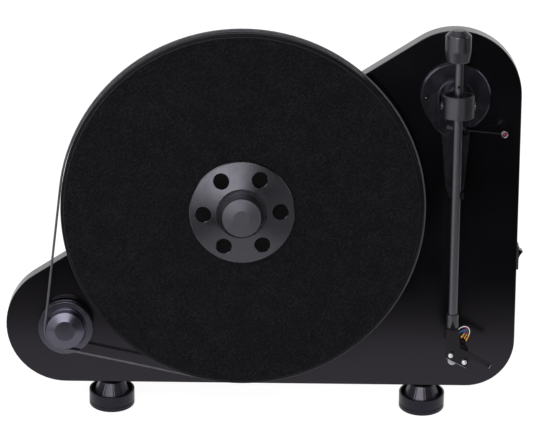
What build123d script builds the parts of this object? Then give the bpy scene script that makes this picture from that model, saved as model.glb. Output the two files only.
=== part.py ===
from build123d import *
import os
from math import acos, atan2, cos, degrees, hypot, pi, radians, sin

# Vertical record player, in millimetres
# The board leans back on two round feet at the front and a third on an outrigger behind.
# Everything that the board carries is placed in the board's own directions: u runs to the
# right, v runs up the board and n stands out of its front face. u = v = n = 0 is the point
# where the platter's axis meets the board's front face.

# Board
board_width = 426.9
board_height = 306.6
board_thickness = 18.0
board_edge_round = 0.5
left_end_radius = 50.4
top_right_radius = 54.9
bottom_right_radius = 40.5
axis_from_left = 197.1
axis_from_bottom = 157.3
lean_back = 9.3

# Fits and overrun shared by every piece
running_fit = 0.05
loose_fit = 0.2
air_gap = 0.3
overrun = 1.0

# Screws
screw_radius = 1.5
screw_head_radius = 2.9
screw_head_height = 1.9
screw_grip = 10.0
screw_slot_width = 0.8
screw_slot_depth = 0.7

# Feet
foot_height = 22.9
left_foot_u = -108.9
right_foot_u = 153.5
cup_radius = 19.1
cup_height = 13.9
cup_wall = 1.4
cup_base = 3.8
cup_floor = 3.6
cup_groove_width = 0.6
cup_groove_depth = 0.5
cup_edge = 0.6
cone_bottom_radius = 16.4
cone_straight = 4.9
cone_top_radius = 10.1
cone_shoulder = 0.8
cone_lobe_depth = 0.9
cone_lobes = 10
cone_clearance = 1.9
stud_radius = 3.0
stud_collar_radius = 7.5
stud_collar_step = 0.3
stud_into_board = 16.0
stud_floor = 1.4

# Outrigger that carries the rear foot
outrigger_reach = 138.0
outrigger_tube_radius = 7.5
outrigger_tube_wall = 1.5
outrigger_overhang = 10.0
flange_width = 58.0
flange_height = 30.0
flange_thickness = 4.0
flange_corner = 5.0
flange_below_tube = 7.4
flange_screw_inset = 6.5

# Main bearing
housing_radius = 11.0
housing_bore = 7.0
housing_flange_radius = 25.0
housing_flange = 4.0
housing_proud = 1.6
housing_tail = 34.0
housing_screw_circle = 18.5
housing_screws = 3
bush_length = 10.0
bush_inset = 0.6
ball_radius = 2.5
end_cap_plug = 3.0
end_cap_radius = 10.0
end_cap_thickness = 3.0

# Platter, hub, spindle and mat
platter_radius = 150.0
platter_thickness = 17.5
platter_gap = 6.0
platter_bevel = 0.9
mat_radius = 147.4
mat_thickness = 3.0
mat_edge = 0.5
hub_radius = 35.0
hub_thickness = 6.0
hub_boss_radius = 11.0
hub_boss = 2.2
hub_screw_circle = 24.0
hub_screws = 3
spindle_radius = 4.0
spindle_shoulder_radius = 6.0
spindle_pin_radius = 3.58
spindle_pin = 9.0
spindle_tip = 2.0

# Record clamp
clamp_radius = 43.6
clamp_rim = 1.5
clamp_rise = 5.6
clamp_hollow_radius = 40.0
clamp_hollow = 1.6
clamp_ring_radius = 20.3
clamp_ring_step = 0.9
clamp_hole_radius = 6.3
clamp_hole_circle = 32.0
clamp_holes = 6
clamp_first_hole = 2.7
knob_radius = 16.06
knob_top = 18.7
knob_crown = 1.5
knob_flat_radius = 6.65
knob_stem_radius = 12.0

# Motor, pulley and belt
motor_radius = 15.5
motor_length = 22.0
motor_gap = 3.0
motor_flange = 2.0
motor_flange_radius = 24.0
motor_boss_radius = 5.0
motor_boss = 2.5
motor_hole_radius = 8.0
motor_cap = 2.5
motor_cap_radius = 13.5
grommet_radius = 4.2
grommet_circle = 19.5
grommets = 3
motor_shaft_radius = 1.5
motor_shaft_depth = 18.0
motor_shaft_in_pulley = 8.0
pulley_gap = 3.0
pulley_flange_radius = 22.65
pulley_back_flange = 2.0
pulley_groove = 2.6
pulley_groove_radius = 21.5
pulley_front_flange = 4.0
pulley_step_radius = 15.85
pulley_step = 7.7
pulley_chamfer = 1.7
pulley_flat_radius = 8.5
belt_radius = 1.0

# Cover over the motor and the control board
cover_depth = 33.0
cover_wall = 2.2
cover_left_radius = 34.0
cover_right_u = -22.0
cover_corner = 8.0
cover_edge = 1.5
cover_screw_bite = 7.0
cover_post_radius = 3.6
cover_screw_inset = 8.5
cover_left_post = 29.2
cover_middle_u = -106.0

# Control board and power inlet
pcb_width = 56.0
pcb_height = 30.0
pcb_thickness = 1.6
pcb_left_u = -100.0
pcb_low_v = -124.0
pcb_post_radius = 2.4
pcb_post = 6.0
pcb_post_inset = 4.0
chip_height = 2.4
chip_size = 9.0
capacitor_radius = 4.0
capacitor_height = 11.0
capacitor_pitch = 12.0
inlet_u = -40.0
inlet_v = -118.0
inlet_body = 11.0
inlet_depth = 12.0
inlet_bore = 3.1
inlet_bore_depth = 9.0
inlet_pin_radius = 1.0
inlet_nose_radius = 4.6
inlet_nose = 0.6

# Rear cover behind the arm, with the signal sockets
signal_cover_reach = 27.5
signal_cover_low_v = 24.0
signal_cover_high_v = 122.0
signal_cover_depth = 26.0
socket_v = 42.0
socket_pitch = 24.0
socket_barrel_radius = 4.15
socket_barrel = 8.5
socket_bore = 1.6
socket_bore_depth = 7.5
socket_flange_radius = 6.0
socket_flange = 1.5
socket_body_radius = 5.0
socket_body = 7.0
ground_v = 62.0
ground_stud_radius = 2.0
ground_stud_length = 11.0
ground_head_radius = 4.0
ground_head = 2.0
ground_nut_radius = 4.5
ground_nut_height = 5.0
ground_nut_notch = 0.5
ground_nut_notches = 16
signal_wire_radius = 0.6
signal_wire_pitch = 1.6
signal_wire_drop = 8.0

# Power switch on the right edge
switch_v = -45.3
switch_bezel = 20.2
switch_bezel_width = 13.0
switch_bezel_proud = 1.7
switch_body = 19.0
switch_body_width = 11.2
switch_depth = 14.0
rocker_radius = 6.95
rocker_width = 8.0
rocker_pin_radius = 1.0
rocker_pin = 1.0
rocker_apex_angle = 49.7
rocker_low_angle = 170.3
rocker_dish = 1.3
cable_radius = 1.8
cable_groove_depth = 8.0
cable_low_v = -100.0
cable_inset = 20.3
cable_bend = 22.0
cable_exit_bend = 5.6
cable_tail = 6.0

# Arm base, a bevelled disc with a raised tongue that runs down beside the tube
arm_u = 175.0
arm_v = 96.8
arm_height = 45.0
base_drop = 3.2
base_radius = 29.3
base_thickness = 3.6
base_bevel = 1.9
lobe_radius = 18.6
lobe_shift = -3.0
lobe_drop = 15.0
collar_radius = 14.9
collar_rise = 3.0
collar_edge = 0.6
well_radius = 13.5
well_floor = 1.8
tongue_rise = 2.4
tongue_end_v = 11.6
tongue_shoulder_v = 18.2
tongue_end_left = -8.5
tongue_end_right = 8.6
tongue_nose_left = -4.6
tongue_nose_right = 4.8
base_screw_offset = 24.6
base_screw_head = 2.6
base_screw_grip = 12.0

# Swing bearing
pillar_radius = 8.6
pillar_top = 24.0
pillar_bore = 5.0
pillar_flange_radius = 20.0
pillar_flange = 3.0
pillar_screw_circle = 14.5
pillar_screws = 3
pillar_hole_radius = 9.0
swing_bush_length = 6.0
swing_radius = 3.0
swing_collar_radius = 4.6
swing_collar = 1.5
saddle_radius = 7.6
saddle_gap = 0.5
saddle_waist_radius = 5.5

# Gimbal ring and tilt bearing
ring_radius = 13.2
ring_wall = 2.0
ring_length = 18.8
ring_edge = 0.5
ring_flat = 0.7
pivot_seat = 0.6
pivot_head_radius = 3.4
pivot_head = 1.5
pivot_radius = 1.6
pivot_tip_radius = 0.8
pivot_tip = 2.2
arm_hub_radius = 6.2
arm_hub_length = 13.0
arm_hub_gap = 1.2
arm_hub_end = 2.5

# Arm tube, counterweight and headshell
tube_radius = 3.85
tube_wall = 0.6
tube_front_v = -80.0
stub_radius = 3.65
stub_end_v = 152.0
stub_hole_radius = 1.3
stub_hole_v = 113.2
stub_hole_depth = 2.0
weight_radius = 10.7
weight_low_v = 133.6
weight_length = 26.4
weight_low_radius = 9.3
weight_taper = 9.4
weight_high_radius = 5.7
weight_chamfer = 4.35
weight_offset = -1.2
weight_bore_end = 3.4
headshell_angle = 26.9
headshell_shift = 4.8
headshell_v = -118.7
sleeve_radius = 5.05
sleeve_length = 13.2
sleeve_overlap = 9.0
sleeve_notch = 9.0
sleeve_notch_width = 4.4
shell_thickness = 2.0
shell_rise = 0.5
shell_front = 4.1
shell_back = 9.0
shell_left = 9.15
shell_right = 10.1
neck_half_width = 5.05
neck_foot = -2.2
finger_reach = 27.0
finger_low = 4.9
finger_thickness = 1.1
finger_lip = 2.2
finger_lip_width = 1.2
cartridge_pitch = 12.7
slot_half_width = 1.35
slot_front = 2.0
slot_back = 4.2
cartridge_screw_radius = 1.25
cartridge_screw_head = 2.15
cartridge_screw_head_height = 2.2
cartridge_screw_grip = 5.0

# Cartridge and stylus
cartridge_flange_half = 8.6
cartridge_flange_front = 3.6
cartridge_flange_back = 5.0
cartridge_flange = 3.4
cartridge_half = 5.2
cartridge_front = 4.0
cartridge_rear = 12.6
cartridge_tail = 3.1
cartridge_tail_half = 3.3
cartridge_height = 12.6
nose_radius = 3.7
nose_shift = -1.4
nose_front = 5.7
nose_top = 4.5
nose_height = 8.6
cantilever_radius = 0.35
stylus_clearance = 1.4
clip_radius = 0.85
clip_length = 7.4
clip_bore = 0.35
clip_shift = -1.9
clip_spreads = [2.5, 1.0]
clip_drop = 3.8
clip_pitch = 3.4
pin_radius = 0.3
pin_length = 5.0
lead_radius = 0.35
# Each lead's route from the sleeve: two shapes seen from the front, and the depths of the four
lead_routes = [
    [(0.4, 0), (0.4, -3.5), (5.1, -4.3), (8.7, 1.7)],
    [(2.7, 0), (2.7, -2.2), (7.0, -2.4), (12.9, 2.6)],
]
lead_reaches = [6.0, 7.5]
lead_start_depths = [0.9, 2.3]
lead_depths = [2.3, 4.9, 4.1, 7.0]

# Lift lever, lift platform and arm rest
lever_v = 66.0
lever_shift = 9.0
lever_axis_n = 3.4
lever_slot = 7.0
lever_slot_reach = 4.6
lever_floor = 1.0
lever_hub_radius = 2.0
lever_hub_length = 5.0
lever_pin_radius = 1.0
lever_rod_radius = 0.75
lever_length = 33.8
lever_rise = 21.4
lever_knob_radius = 2.85
lever_knob_length = 3.0
lever_knob_edge = 0.6
lever_pin_bite = 3.0
platform_radius = 20.8
platform_width = 3.0
platform_thickness = 1.6
platform_gap = 2.15
platform_left_angle = 24.0
platform_right_angle = 15.0
platform_stem_radius = 2.2
platform_stem_floor = 0.3
rest_v = 18.4
rest_length = 5.5
rest_gap = 0.45
rest_side_gap = 0.55
rest_floor = 1.6
rest_wall = 2.0
rest_prong = 1.6
rest_lip = 1.4
rest_stem_left = -0.8
rest_stem_right = 3.6
rest_foot = 1.2
rest_foot_left = -5.4
rest_screw_offset = -2.8
rest_screw_radius = 0.8
rest_screw_head = 1.5
rest_screw_head_height = 0.8
rest_screw_grip = 8.0

# Directions of the board in the world, and the place of its u = v = n = 0 point
lean = radians(lean_back)
across = Vector(1, 0, 0)
climb = Vector(0, sin(lean), cos(lean))
out = Vector(0, -cos(lean), sin(lean))
board_right = board_width - axis_from_left
board_top = board_height - axis_from_bottom
board_back = -board_thickness
board_middle = board_back / 2
rocker_apex = rocker_radius * sin(radians(rocker_apex_angle))
right_reach = board_right + rocker_apex
mat_top = platter_gap + platter_thickness + mat_thickness
foot_line = -axis_from_bottom * sin(lean) - board_middle * cos(lean)
turn = radians(headshell_angle)
headshell_u = arm_u + headshell_shift
shell_top = arm_height + shell_rise
finger_v = headshell_v - finger_reach * sin(turn) + finger_low * cos(turn)
front_reach = (shell_top + finger_lip) * cos(lean) - finger_v * sin(lean)
back_reach = foot_line + outrigger_reach + cup_radius
axis_x = (axis_from_left - right_reach) / 2
axis_y = (front_reach - back_reach) / 2
axis_z = foot_height + axis_from_bottom * cos(lean) - board_middle * sin(lean)
home = Vector(axis_x, axis_y, axis_z)


def at(u, v, n):
    """The world point at u, v, n."""
    return home + across * u + climb * v + out * n


def facing(u, v, n):
    """Plane parallel to the board: x is u, y is v, and it extrudes along n."""
    return Plane(origin=at(u, v, n), x_dir=across, z_dir=out)


def section(u, v, n):
    """Plane through an n axis: x is u and y is n."""
    return Plane(origin=at(u, v, n), x_dir=across, z_dir=-climb)


def climbing(u, v, n):
    """Plane square to v: x is u, y is -n, and it extrudes along v."""
    return Plane(origin=at(u, v, n), x_dir=across, z_dir=climb)


def sideways(u, v, n):
    """Plane square to u: x is v, y is n, and it extrudes along u."""
    return Plane(origin=at(u, v, n), x_dir=climb, z_dir=across)


def backing(u, v, n):
    """Plane parallel to the board: x is u, y is -v, and it extrudes along -n."""
    return Plane(origin=at(u, v, n), x_dir=across, z_dir=-out)


def endways(u, v, n):
    """Plane through a u axis: x is n and y is u."""
    return Plane(origin=at(u, v, n), x_dir=out, z_dir=climb)


def upright(x, y, z):
    """Plane through a world vertical: x is world X and y is world Z."""
    return Plane(origin=(x, y, z), x_dir=(1, 0, 0), z_dir=(0, -1, 0))


def turned(plane, profile):
    """Solid turned about the plane's y axis from (radius, height) pairs."""
    with BuildPart() as piece:
        with BuildSketch(plane):
            with BuildLine():
                Polyline(*profile, close=True)
            make_face()
        revolve(axis=Axis(plane.origin, plane.y_dir))
    return piece.part


def pan_screw(plane, radius, head_radius, head_height, grip):
    """Slotted screw whose head stands on the plane and whose shank goes in behind it."""
    crown = head_height / 3
    with BuildPart() as screw:
        with BuildSketch(plane):
            Circle(head_radius)
        extrude(amount=head_height)
        fillet(screw.faces().sort_by(Axis(plane.origin, plane.z_dir))[-1].edges(), crown)
        with BuildSketch(plane):
            Circle(radius)
        extrude(amount=-grip)
        with BuildSketch(plane.offset(head_height - screw_slot_depth)):
            Rectangle(head_radius * 2 + overrun, screw_slot_width)
        extrude(amount=head_height, mode=Mode.SUBTRACT)
    return screw.part


def save(part, name):
    """Label a finished piece and write its file."""
    part.label = name
    export_step(part, f"parts/{name}.step")


os.makedirs("parts", exist_ok=True)

# Places that several pieces share
motor_u = left_end_radius - axis_from_left
motor_v = left_end_radius - axis_from_bottom
top_centre_u = board_right - top_right_radius
top_centre_v = board_top - top_right_radius
low_centre_u = board_right - bottom_right_radius
low_centre_v = bottom_right_radius - axis_from_bottom
platter_front = platter_gap + platter_thickness
belt_n = platter_gap + platter_thickness / 2
hub_back = platter_gap - hub_boss
hub_front = platter_gap + hub_thickness
thrust_n = board_back - housing_tail + end_cap_plug
shaft_end_n = thrust_n + 2 * ball_radius + 2 * running_fit
motor_back = board_back - motor_gap - motor_flange - motor_length
cover_back = board_back - cover_depth
cover_inside = cover_back + cover_wall
signal_back = board_back - signal_cover_depth
signal_inside = signal_back + cover_wall
base_v = arm_v - base_drop
lever_axis_u = arm_u + lever_shift
signal_cover_left_u = arm_u - signal_cover_reach
signal_cover_right_u = arm_u + signal_cover_reach
cable_end_u = board_right - cable_inset
collar_top = base_thickness + collar_rise
tongue_top = base_thickness + tongue_rise
foot_y = axis_y + foot_line
rear_foot_y = foot_y + outrigger_reach
rear_foot_u = (left_foot_u + right_foot_u) / 2
cone_top = foot_height - cone_clearance
feet = {
    "left": (axis_x + left_foot_u, foot_y),
    "right": (axis_x + right_foot_u, foot_y),
    "rear": (axis_x + rear_foot_u, rear_foot_y),
}
outrigger_z = foot_height + outrigger_tube_radius
outrigger_v = (outrigger_z - axis_z - board_back * sin(lean)) / cos(lean)
flange_low_v = outrigger_v - flange_below_tube


def ring_places(radius, count, first):
    """Points evenly spaced on a circle, from a first angle in degrees."""
    angles = [radians(first + 360 * i / count) for i in range(count)]
    return [(radius * cos(a), radius * sin(a)) for a in angles]


housing_places = ring_places(housing_screw_circle, housing_screws, 90)
grommet_places = [
    (motor_u + x, motor_v + y) for x, y in ring_places(grommet_circle, grommets, 90)
]
flange_places = [
    (rear_foot_u + side * (flange_width / 2 - flange_screw_inset), flange_low_v + rise)
    for side in (-1, 1)
    for rise in (flange_screw_inset, flange_height - flange_screw_inset)
]
cover_high_v = motor_v + cover_left_radius - cover_screw_inset
cover_low_v = motor_v - cover_left_radius + cover_screw_inset
cover_places = [
    (motor_u - cover_left_post, motor_v),
    (cover_middle_u, cover_high_v),
    (cover_middle_u, cover_low_v),
    (cover_right_u - cover_screw_inset, cover_high_v),
    (cover_right_u - cover_screw_inset, cover_low_v),
]
cable_route = [
    (cover_right_u - cover_wall - cable_tail, cable_low_v),
    (cable_end_u, cable_low_v),
    (cable_end_u, switch_v),
    (board_right - switch_depth, switch_v),
]
rest_middle_v = rest_v + rest_length / 2
signal_places = [
    (u, v)
    for u in (signal_cover_left_u + cover_screw_inset, signal_cover_right_u - cover_screw_inset)
    for v in (signal_cover_low_v + cover_screw_inset, signal_cover_high_v - cover_screw_inset)
]
pillar_screw_places = [
    (arm_u + x, arm_v + y)
    for x, y in ring_places(pillar_screw_circle, pillar_screws, 90)
]

# Board: a teardrop slab, three arcs joined by straight edges
tangent = atan2(top_centre_v - motor_v, top_centre_u - motor_u)
centre_distance = hypot(top_centre_u - motor_u, top_centre_v - motor_v)
tangent += acos((left_end_radius - top_right_radius) / centre_distance)


def rim(u, v, radius, angle):
    """Point on a circle at an angle in radians."""
    return (u + radius * cos(angle), v + radius * sin(angle))


with BuildPart() as board:
    with BuildSketch(facing(0, 0, 0)):
        with BuildLine():
            left_high = rim(motor_u, motor_v, left_end_radius, tangent)
            left_mid = rim(motor_u, motor_v, left_end_radius, (tangent + 3 * pi / 2) / 2)
            left_low = rim(motor_u, motor_v, left_end_radius, -pi / 2)
            low_left = rim(low_centre_u, low_centre_v, bottom_right_radius, -pi / 2)
            low_mid = rim(low_centre_u, low_centre_v, bottom_right_radius, -pi / 4)
            low_right = rim(low_centre_u, low_centre_v, bottom_right_radius, 0)
            high_right = rim(top_centre_u, top_centre_v, top_right_radius, 0)
            high_mid = rim(top_centre_u, top_centre_v, top_right_radius, tangent / 2)
            high_left = rim(top_centre_u, top_centre_v, top_right_radius, tangent)
            ThreePointArc(left_high, left_mid, left_low)
            Line(left_low, low_left)
            ThreePointArc(low_left, low_mid, low_right)
            Line(low_right, high_right)
            ThreePointArc(high_right, high_mid, high_left)
            Line(high_left, left_high)
        make_face()
    extrude(amount=-board_thickness)
    faces_along_n = board.faces().sort_by(Axis(home, out))
    fillet(faces_along_n[-1].edges() + faces_along_n[0].edges(), board_edge_round)
    with BuildSketch(facing(0, 0, 0)):
        Circle(housing_radius + running_fit)
        with Locations((motor_u, motor_v)):
            Circle(motor_hole_radius)
        with Locations((arm_u, arm_v)):
            Circle(pillar_hole_radius)
    extrude(amount=-board_thickness - overrun, mode=Mode.SUBTRACT)
    with BuildSketch(facing(0, 0, board_back)):
        with Locations(*housing_places, *grommet_places, *flange_places, *cover_places,
                       *signal_places, *pillar_screw_places):
            Circle(screw_radius + running_fit)
    extrude(amount=screw_grip + overrun, mode=Mode.SUBTRACT)
    with BuildSketch(facing(0, 0, 0)):
        with Locations((arm_u - base_screw_offset, base_v)):
            Circle(screw_radius + running_fit)
        with Locations((arm_u + rest_screw_offset, rest_middle_v)):
            Circle(rest_screw_radius + running_fit)
    extrude(amount=-base_screw_grip, mode=Mode.SUBTRACT)
    for x, y in (feet["left"], feet["right"]):
        with BuildSketch(Plane.XY.offset(foot_height).move(Location((x, y, 0)))):
            Circle(stud_radius + running_fit)
        extrude(amount=stud_into_board + overrun, both=True, mode=Mode.SUBTRACT)
    with BuildSketch(sideways(board_right, switch_v, board_middle)):
        Rectangle(switch_body + 2 * running_fit, switch_body_width + 2 * running_fit)
    extrude(amount=-switch_depth - overrun, mode=Mode.SUBTRACT)
    with BuildSketch(facing(0, 0, board_back)):
        with BuildLine():
            FilletPolyline(*cable_route, radius=[cable_bend, cable_exit_bend])
        trace(line_width=2 * (cable_radius + running_fit))
    extrude(amount=cable_groove_depth, mode=Mode.SUBTRACT)
save(board.part, "board")

# Outrigger: a flange on the back of the board and a tube that reaches to the rear foot
with BuildPart() as outrigger:
    with BuildSketch(backing(rear_foot_u, flange_low_v + flange_height / 2, board_back)):
        RectangleRounded(flange_width, flange_height, flange_corner)
    extrude(amount=flange_thickness)
    tube_start = axis_y + outrigger_v * sin(lean) - (board_back - flange_thickness / 2) * cos(lean)
    with BuildSketch(upright(axis_x + rear_foot_u, tube_start, outrigger_z)):
        Circle(outrigger_tube_radius)
    extrude(amount=tube_start - rear_foot_y - outrigger_overhang)
    with BuildSketch(upright(axis_x + rear_foot_u, rear_foot_y - outrigger_overhang, outrigger_z)):
        Circle(outrigger_tube_radius - outrigger_tube_wall)
    extrude(amount=outrigger_reach, mode=Mode.SUBTRACT)
    with BuildSketch(Plane(origin=(axis_x + rear_foot_u, rear_foot_y, 0))):
        Circle(stud_radius + running_fit)
    extrude(amount=outrigger_z, mode=Mode.SUBTRACT)
    with BuildSketch(facing(0, 0, board_back - flange_thickness)):
        with Locations(*flange_places):
            Circle(screw_radius + running_fit)
    extrude(amount=flange_thickness, mode=Mode.SUBTRACT)
save(outrigger.part, "outrigger")

# Feet: each is a cup with a lobed cone in it, and turns on its stud
cup_inside = cup_radius - cup_wall
for name, (x, y) in feet.items():
    cup = turned(upright(x, y, 0), [
        (0, 0), (cup_radius - cup_edge, 0), (cup_radius, cup_edge), (cup_radius, cup_base),
        (cup_radius - cup_groove_depth, cup_base),
        (cup_radius - cup_groove_depth, cup_base + cup_groove_width),
        (cup_radius, cup_base + cup_groove_width), (cup_radius, cup_height), (cup_inside, cup_height),
        (cup_inside, cup_floor), (stud_radius + running_fit, cup_floor),
        (stud_radius + running_fit, stud_floor), (0, stud_floor),
    ])
    save(cup, f"foot_{name}_cup")
    with BuildPart() as cone:
        for height, radius in (
            (cup_floor, cone_bottom_radius),
            (cup_floor + cone_straight, cone_bottom_radius),
            (cone_top - cone_shoulder, cone_top_radius),
            (cone_top, cone_top_radius - cone_shoulder),
        ):
            valleys = ring_places(radius - cone_lobe_depth, cone_lobes, 0)
            crests = ring_places(radius, cone_lobes, 180 / cone_lobes)
            with BuildSketch(Plane(origin=(x, y, height))):
                with BuildLine():
                    for i in range(cone_lobes):
                        ThreePointArc(valleys[i], crests[i], valleys[(i + 1) % cone_lobes])
                make_face()
        loft(ruled=True)
        with BuildSketch(Plane(origin=(x, y, 0))):
            Circle(stud_radius + running_fit)
        extrude(amount=foot_height, mode=Mode.SUBTRACT)
    save(cone.part, f"foot_{name}_cone")

# Foot studs: the front two stand in the board, under a collar cut to the slope of its edge
with BuildPart() as foot_studs:
    for name in ("left", "right"):
        with BuildSketch(Plane(origin=(*feet[name], cone_top + stud_collar_step))):
            Circle(stud_collar_radius)
        extrude(amount=foot_height - cone_top)
    split(bisect_by=Plane(origin=at(0, -axis_from_bottom, 0), z_dir=climb), keep=Keep.BOTTOM)
    with BuildSketch(Plane(origin=(*feet["rear"], cone_top + stud_collar_step))):
        Circle(stud_collar_radius)
    extrude(amount=foot_height - cone_top - stud_collar_step)
    stud_tops = {"left": stud_into_board, "right": stud_into_board, "rear": outrigger_tube_radius}
    for name, top in stud_tops.items():
        with BuildSketch(Plane(origin=(*feet[name], stud_floor + air_gap))):
            Circle(stud_radius)
        extrude(amount=foot_height + top - stud_floor - air_gap)
save(foot_studs.part, "foot_studs")

# Main bearing
housing = turned(section(0, 0, 0), [
    (housing_bore, housing_proud), (housing_radius, housing_proud), (housing_radius, board_back),
    (housing_flange_radius, board_back), (housing_flange_radius, board_back - housing_flange),
    (housing_radius, board_back - housing_flange), (housing_radius, board_back - housing_tail),
    (housing_bore, board_back - housing_tail),
])
with BuildPart() as bearing_housing:
    add(housing)
    with BuildSketch(facing(0, 0, board_back)):
        with Locations(*housing_places):
            Circle(screw_radius + running_fit)
    extrude(amount=-housing_flange, mode=Mode.SUBTRACT)
save(bearing_housing.part, "bearing_housing")

with BuildPart() as spindle_bushes:
    for n in (housing_proud - bush_inset, shaft_end_n + bush_inset + bush_length):
        with BuildSketch(facing(0, 0, n)):
            Circle(housing_bore - running_fit)
            Circle(spindle_radius + running_fit, mode=Mode.SUBTRACT)
        extrude(amount=-bush_length)
save(spindle_bushes.part, "spindle_bushes")

with BuildPart() as thrust_ball:
    with BuildSketch(section(0, 0, thrust_n + running_fit + ball_radius)):
        with BuildLine():
            ball_arc = ThreePointArc((0, -ball_radius), (ball_radius, 0), (0, ball_radius))
            Line(ball_arc @ 1, ball_arc @ 0)
        make_face()
    revolve(axis=Axis(at(0, 0, thrust_n), out))
save(thrust_ball.part, "thrust_ball")

end_cap = turned(section(0, 0, 0), [
    (0, thrust_n), (ball_radius + running_fit, thrust_n),
    (ball_radius + running_fit, thrust_n + ball_radius),
    (housing_bore - running_fit, thrust_n + ball_radius),
    (housing_bore - running_fit, board_back - housing_tail),
    (end_cap_radius, board_back - housing_tail),
    (end_cap_radius, board_back - housing_tail - end_cap_thickness),
    (0, board_back - housing_tail - end_cap_thickness),
])
save(end_cap, "bearing_end_cap")

# Platter: the spindle carries the hub, the hub carries the platter, and the mat lies on it
pin_top = mat_top + spindle_pin
spindle = turned(section(0, 0, 0), [
    (0, shaft_end_n), (spindle_radius, shaft_end_n), (spindle_radius, hub_back),
    (spindle_shoulder_radius, hub_back), (spindle_shoulder_radius, platter_front),
    (spindle_pin_radius, platter_front), (spindle_pin_radius, pin_top),
    (spindle_pin_radius / 2, pin_top + spindle_tip), (0, pin_top + spindle_tip),
])
save(spindle, "spindle")

shoulder_bore = spindle_shoulder_radius + running_fit
hub_places = ring_places(hub_screw_circle, hub_screws, 90)
hub = turned(section(0, 0, 0), [
    (shoulder_bore, hub_back), (hub_boss_radius, hub_back), (hub_boss_radius, platter_gap),
    (hub_radius, platter_gap), (hub_radius, hub_front), (shoulder_bore, hub_front),
])
with BuildPart() as platter_hub:
    add(hub)
    with BuildSketch(facing(0, 0, platter_gap)):
        with Locations(*hub_places):
            Circle(screw_radius + running_fit)
    extrude(amount=hub_thickness, mode=Mode.SUBTRACT)
save(platter_hub.part, "platter_hub")

disc = turned(section(0, 0, 0), [
    (shoulder_bore, hub_front), (hub_radius + running_fit, hub_front),
    (hub_radius + running_fit, platter_gap),
    (platter_radius - platter_bevel, platter_gap), (platter_radius, platter_gap + platter_bevel),
    (platter_radius, platter_front - platter_bevel), (platter_radius - platter_bevel, platter_front),
    (shoulder_bore, platter_front),
])
with BuildPart() as platter:
    add(disc)
    with BuildSketch(facing(0, 0, platter_gap)):
        with Locations(*hub_places):
            Circle(screw_radius + running_fit)
    extrude(amount=screw_grip + overrun, mode=Mode.SUBTRACT)
save(platter.part, "platter")

platter_mat = turned(section(0, 0, 0), [
    (spindle_pin_radius + loose_fit, platter_front), (mat_radius, platter_front),
    (mat_radius, mat_top - mat_edge), (mat_radius - mat_edge, mat_top),
    (spindle_pin_radius + loose_fit, mat_top),
])
save(platter_mat, "platter_mat")

hub_screw_pieces = [
    pan_screw(backing(x, y, platter_gap), screw_radius, screw_head_radius, screw_head_height, screw_grip)
    for x, y in hub_places
]
with BuildPart() as hub_screw_group:
    add(hub_screw_pieces)
save(hub_screw_group.part, "hub_screws")

# Record clamp: a conical disc with six holes, and a knob whose stem goes through it
clamp_back = mat_top + air_gap
ledge_n = clamp_back + clamp_rise - clamp_ring_step
stem_bore = knob_stem_radius + running_fit
clamp_disc = turned(section(0, 0, clamp_back), [
    (stem_bore, clamp_hollow), (clamp_hollow_radius, clamp_hollow), (clamp_hollow_radius, 0),
    (clamp_radius, 0), (clamp_radius, clamp_rim), (clamp_ring_radius, clamp_rise),
    (clamp_ring_radius, clamp_rise - clamp_ring_step), (stem_bore, clamp_rise - clamp_ring_step),
])
with BuildPart() as record_clamp:
    add(clamp_disc)
    with BuildSketch(facing(0, 0, clamp_back)):
        with Locations(*ring_places(clamp_hole_circle, clamp_holes, clamp_first_hole)):
            Circle(clamp_hole_radius)
    extrude(amount=clamp_rise, mode=Mode.SUBTRACT)
save(record_clamp.part, "record_clamp")

pin_bore = spindle_pin_radius + running_fit
bore_top = pin_top + spindle_tip + air_gap
clamp_knob = turned(section(0, 0, 0), [
    (pin_bore, clamp_back + clamp_hollow), (knob_stem_radius, clamp_back + clamp_hollow),
    (knob_stem_radius, ledge_n), (knob_radius, ledge_n), (knob_radius, clamp_back + knob_top),
    (knob_flat_radius, clamp_back + knob_top + knob_crown), (0, clamp_back + knob_top + knob_crown),
    (0, bore_top), (pin_bore, bore_top),
])
save(clamp_knob, "clamp_knob")

# Motor on three rubber grommets behind the board
motor_front = board_back - motor_gap
can = turned(section(motor_u, motor_v, 0), [
    (motor_shaft_radius + running_fit, motor_front + motor_boss),
    (motor_boss_radius, motor_front + motor_boss), (motor_boss_radius, motor_front),
    (motor_flange_radius, motor_front),
    (motor_flange_radius, motor_front - motor_flange), (motor_radius, motor_front - motor_flange),
    (motor_radius, motor_back), (motor_cap_radius, motor_back), (motor_cap_radius, motor_back - motor_cap),
    (0, motor_back - motor_cap), (0, motor_front + motor_boss - motor_shaft_depth - overrun),
    (motor_shaft_radius + running_fit, motor_front + motor_boss - motor_shaft_depth - overrun),
])
with BuildPart() as motor:
    add(can)
    with BuildSketch(facing(0, 0, motor_front)):
        with Locations(*grommet_places):
            Circle(screw_radius + running_fit)
    extrude(amount=-motor_flange, mode=Mode.SUBTRACT)
save(motor.part, "motor")

with BuildPart() as motor_grommets:
    with BuildSketch(facing(0, 0, motor_front)):
        with Locations(*grommet_places):
            Circle(grommet_radius)
            Circle(screw_radius + running_fit, mode=Mode.SUBTRACT)
    extrude(amount=motor_gap)
save(motor_grommets.part, "motor_grommets")

motor_screw_pieces = [
    pan_screw(backing(u, v, motor_front - motor_flange), screw_radius, screw_head_radius,
              screw_head_height, screw_grip)
    for u, v in grommet_places
]
with BuildPart() as motor_screw_group:
    add(motor_screw_pieces)
save(motor_screw_group.part, "motor_screws")

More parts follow.
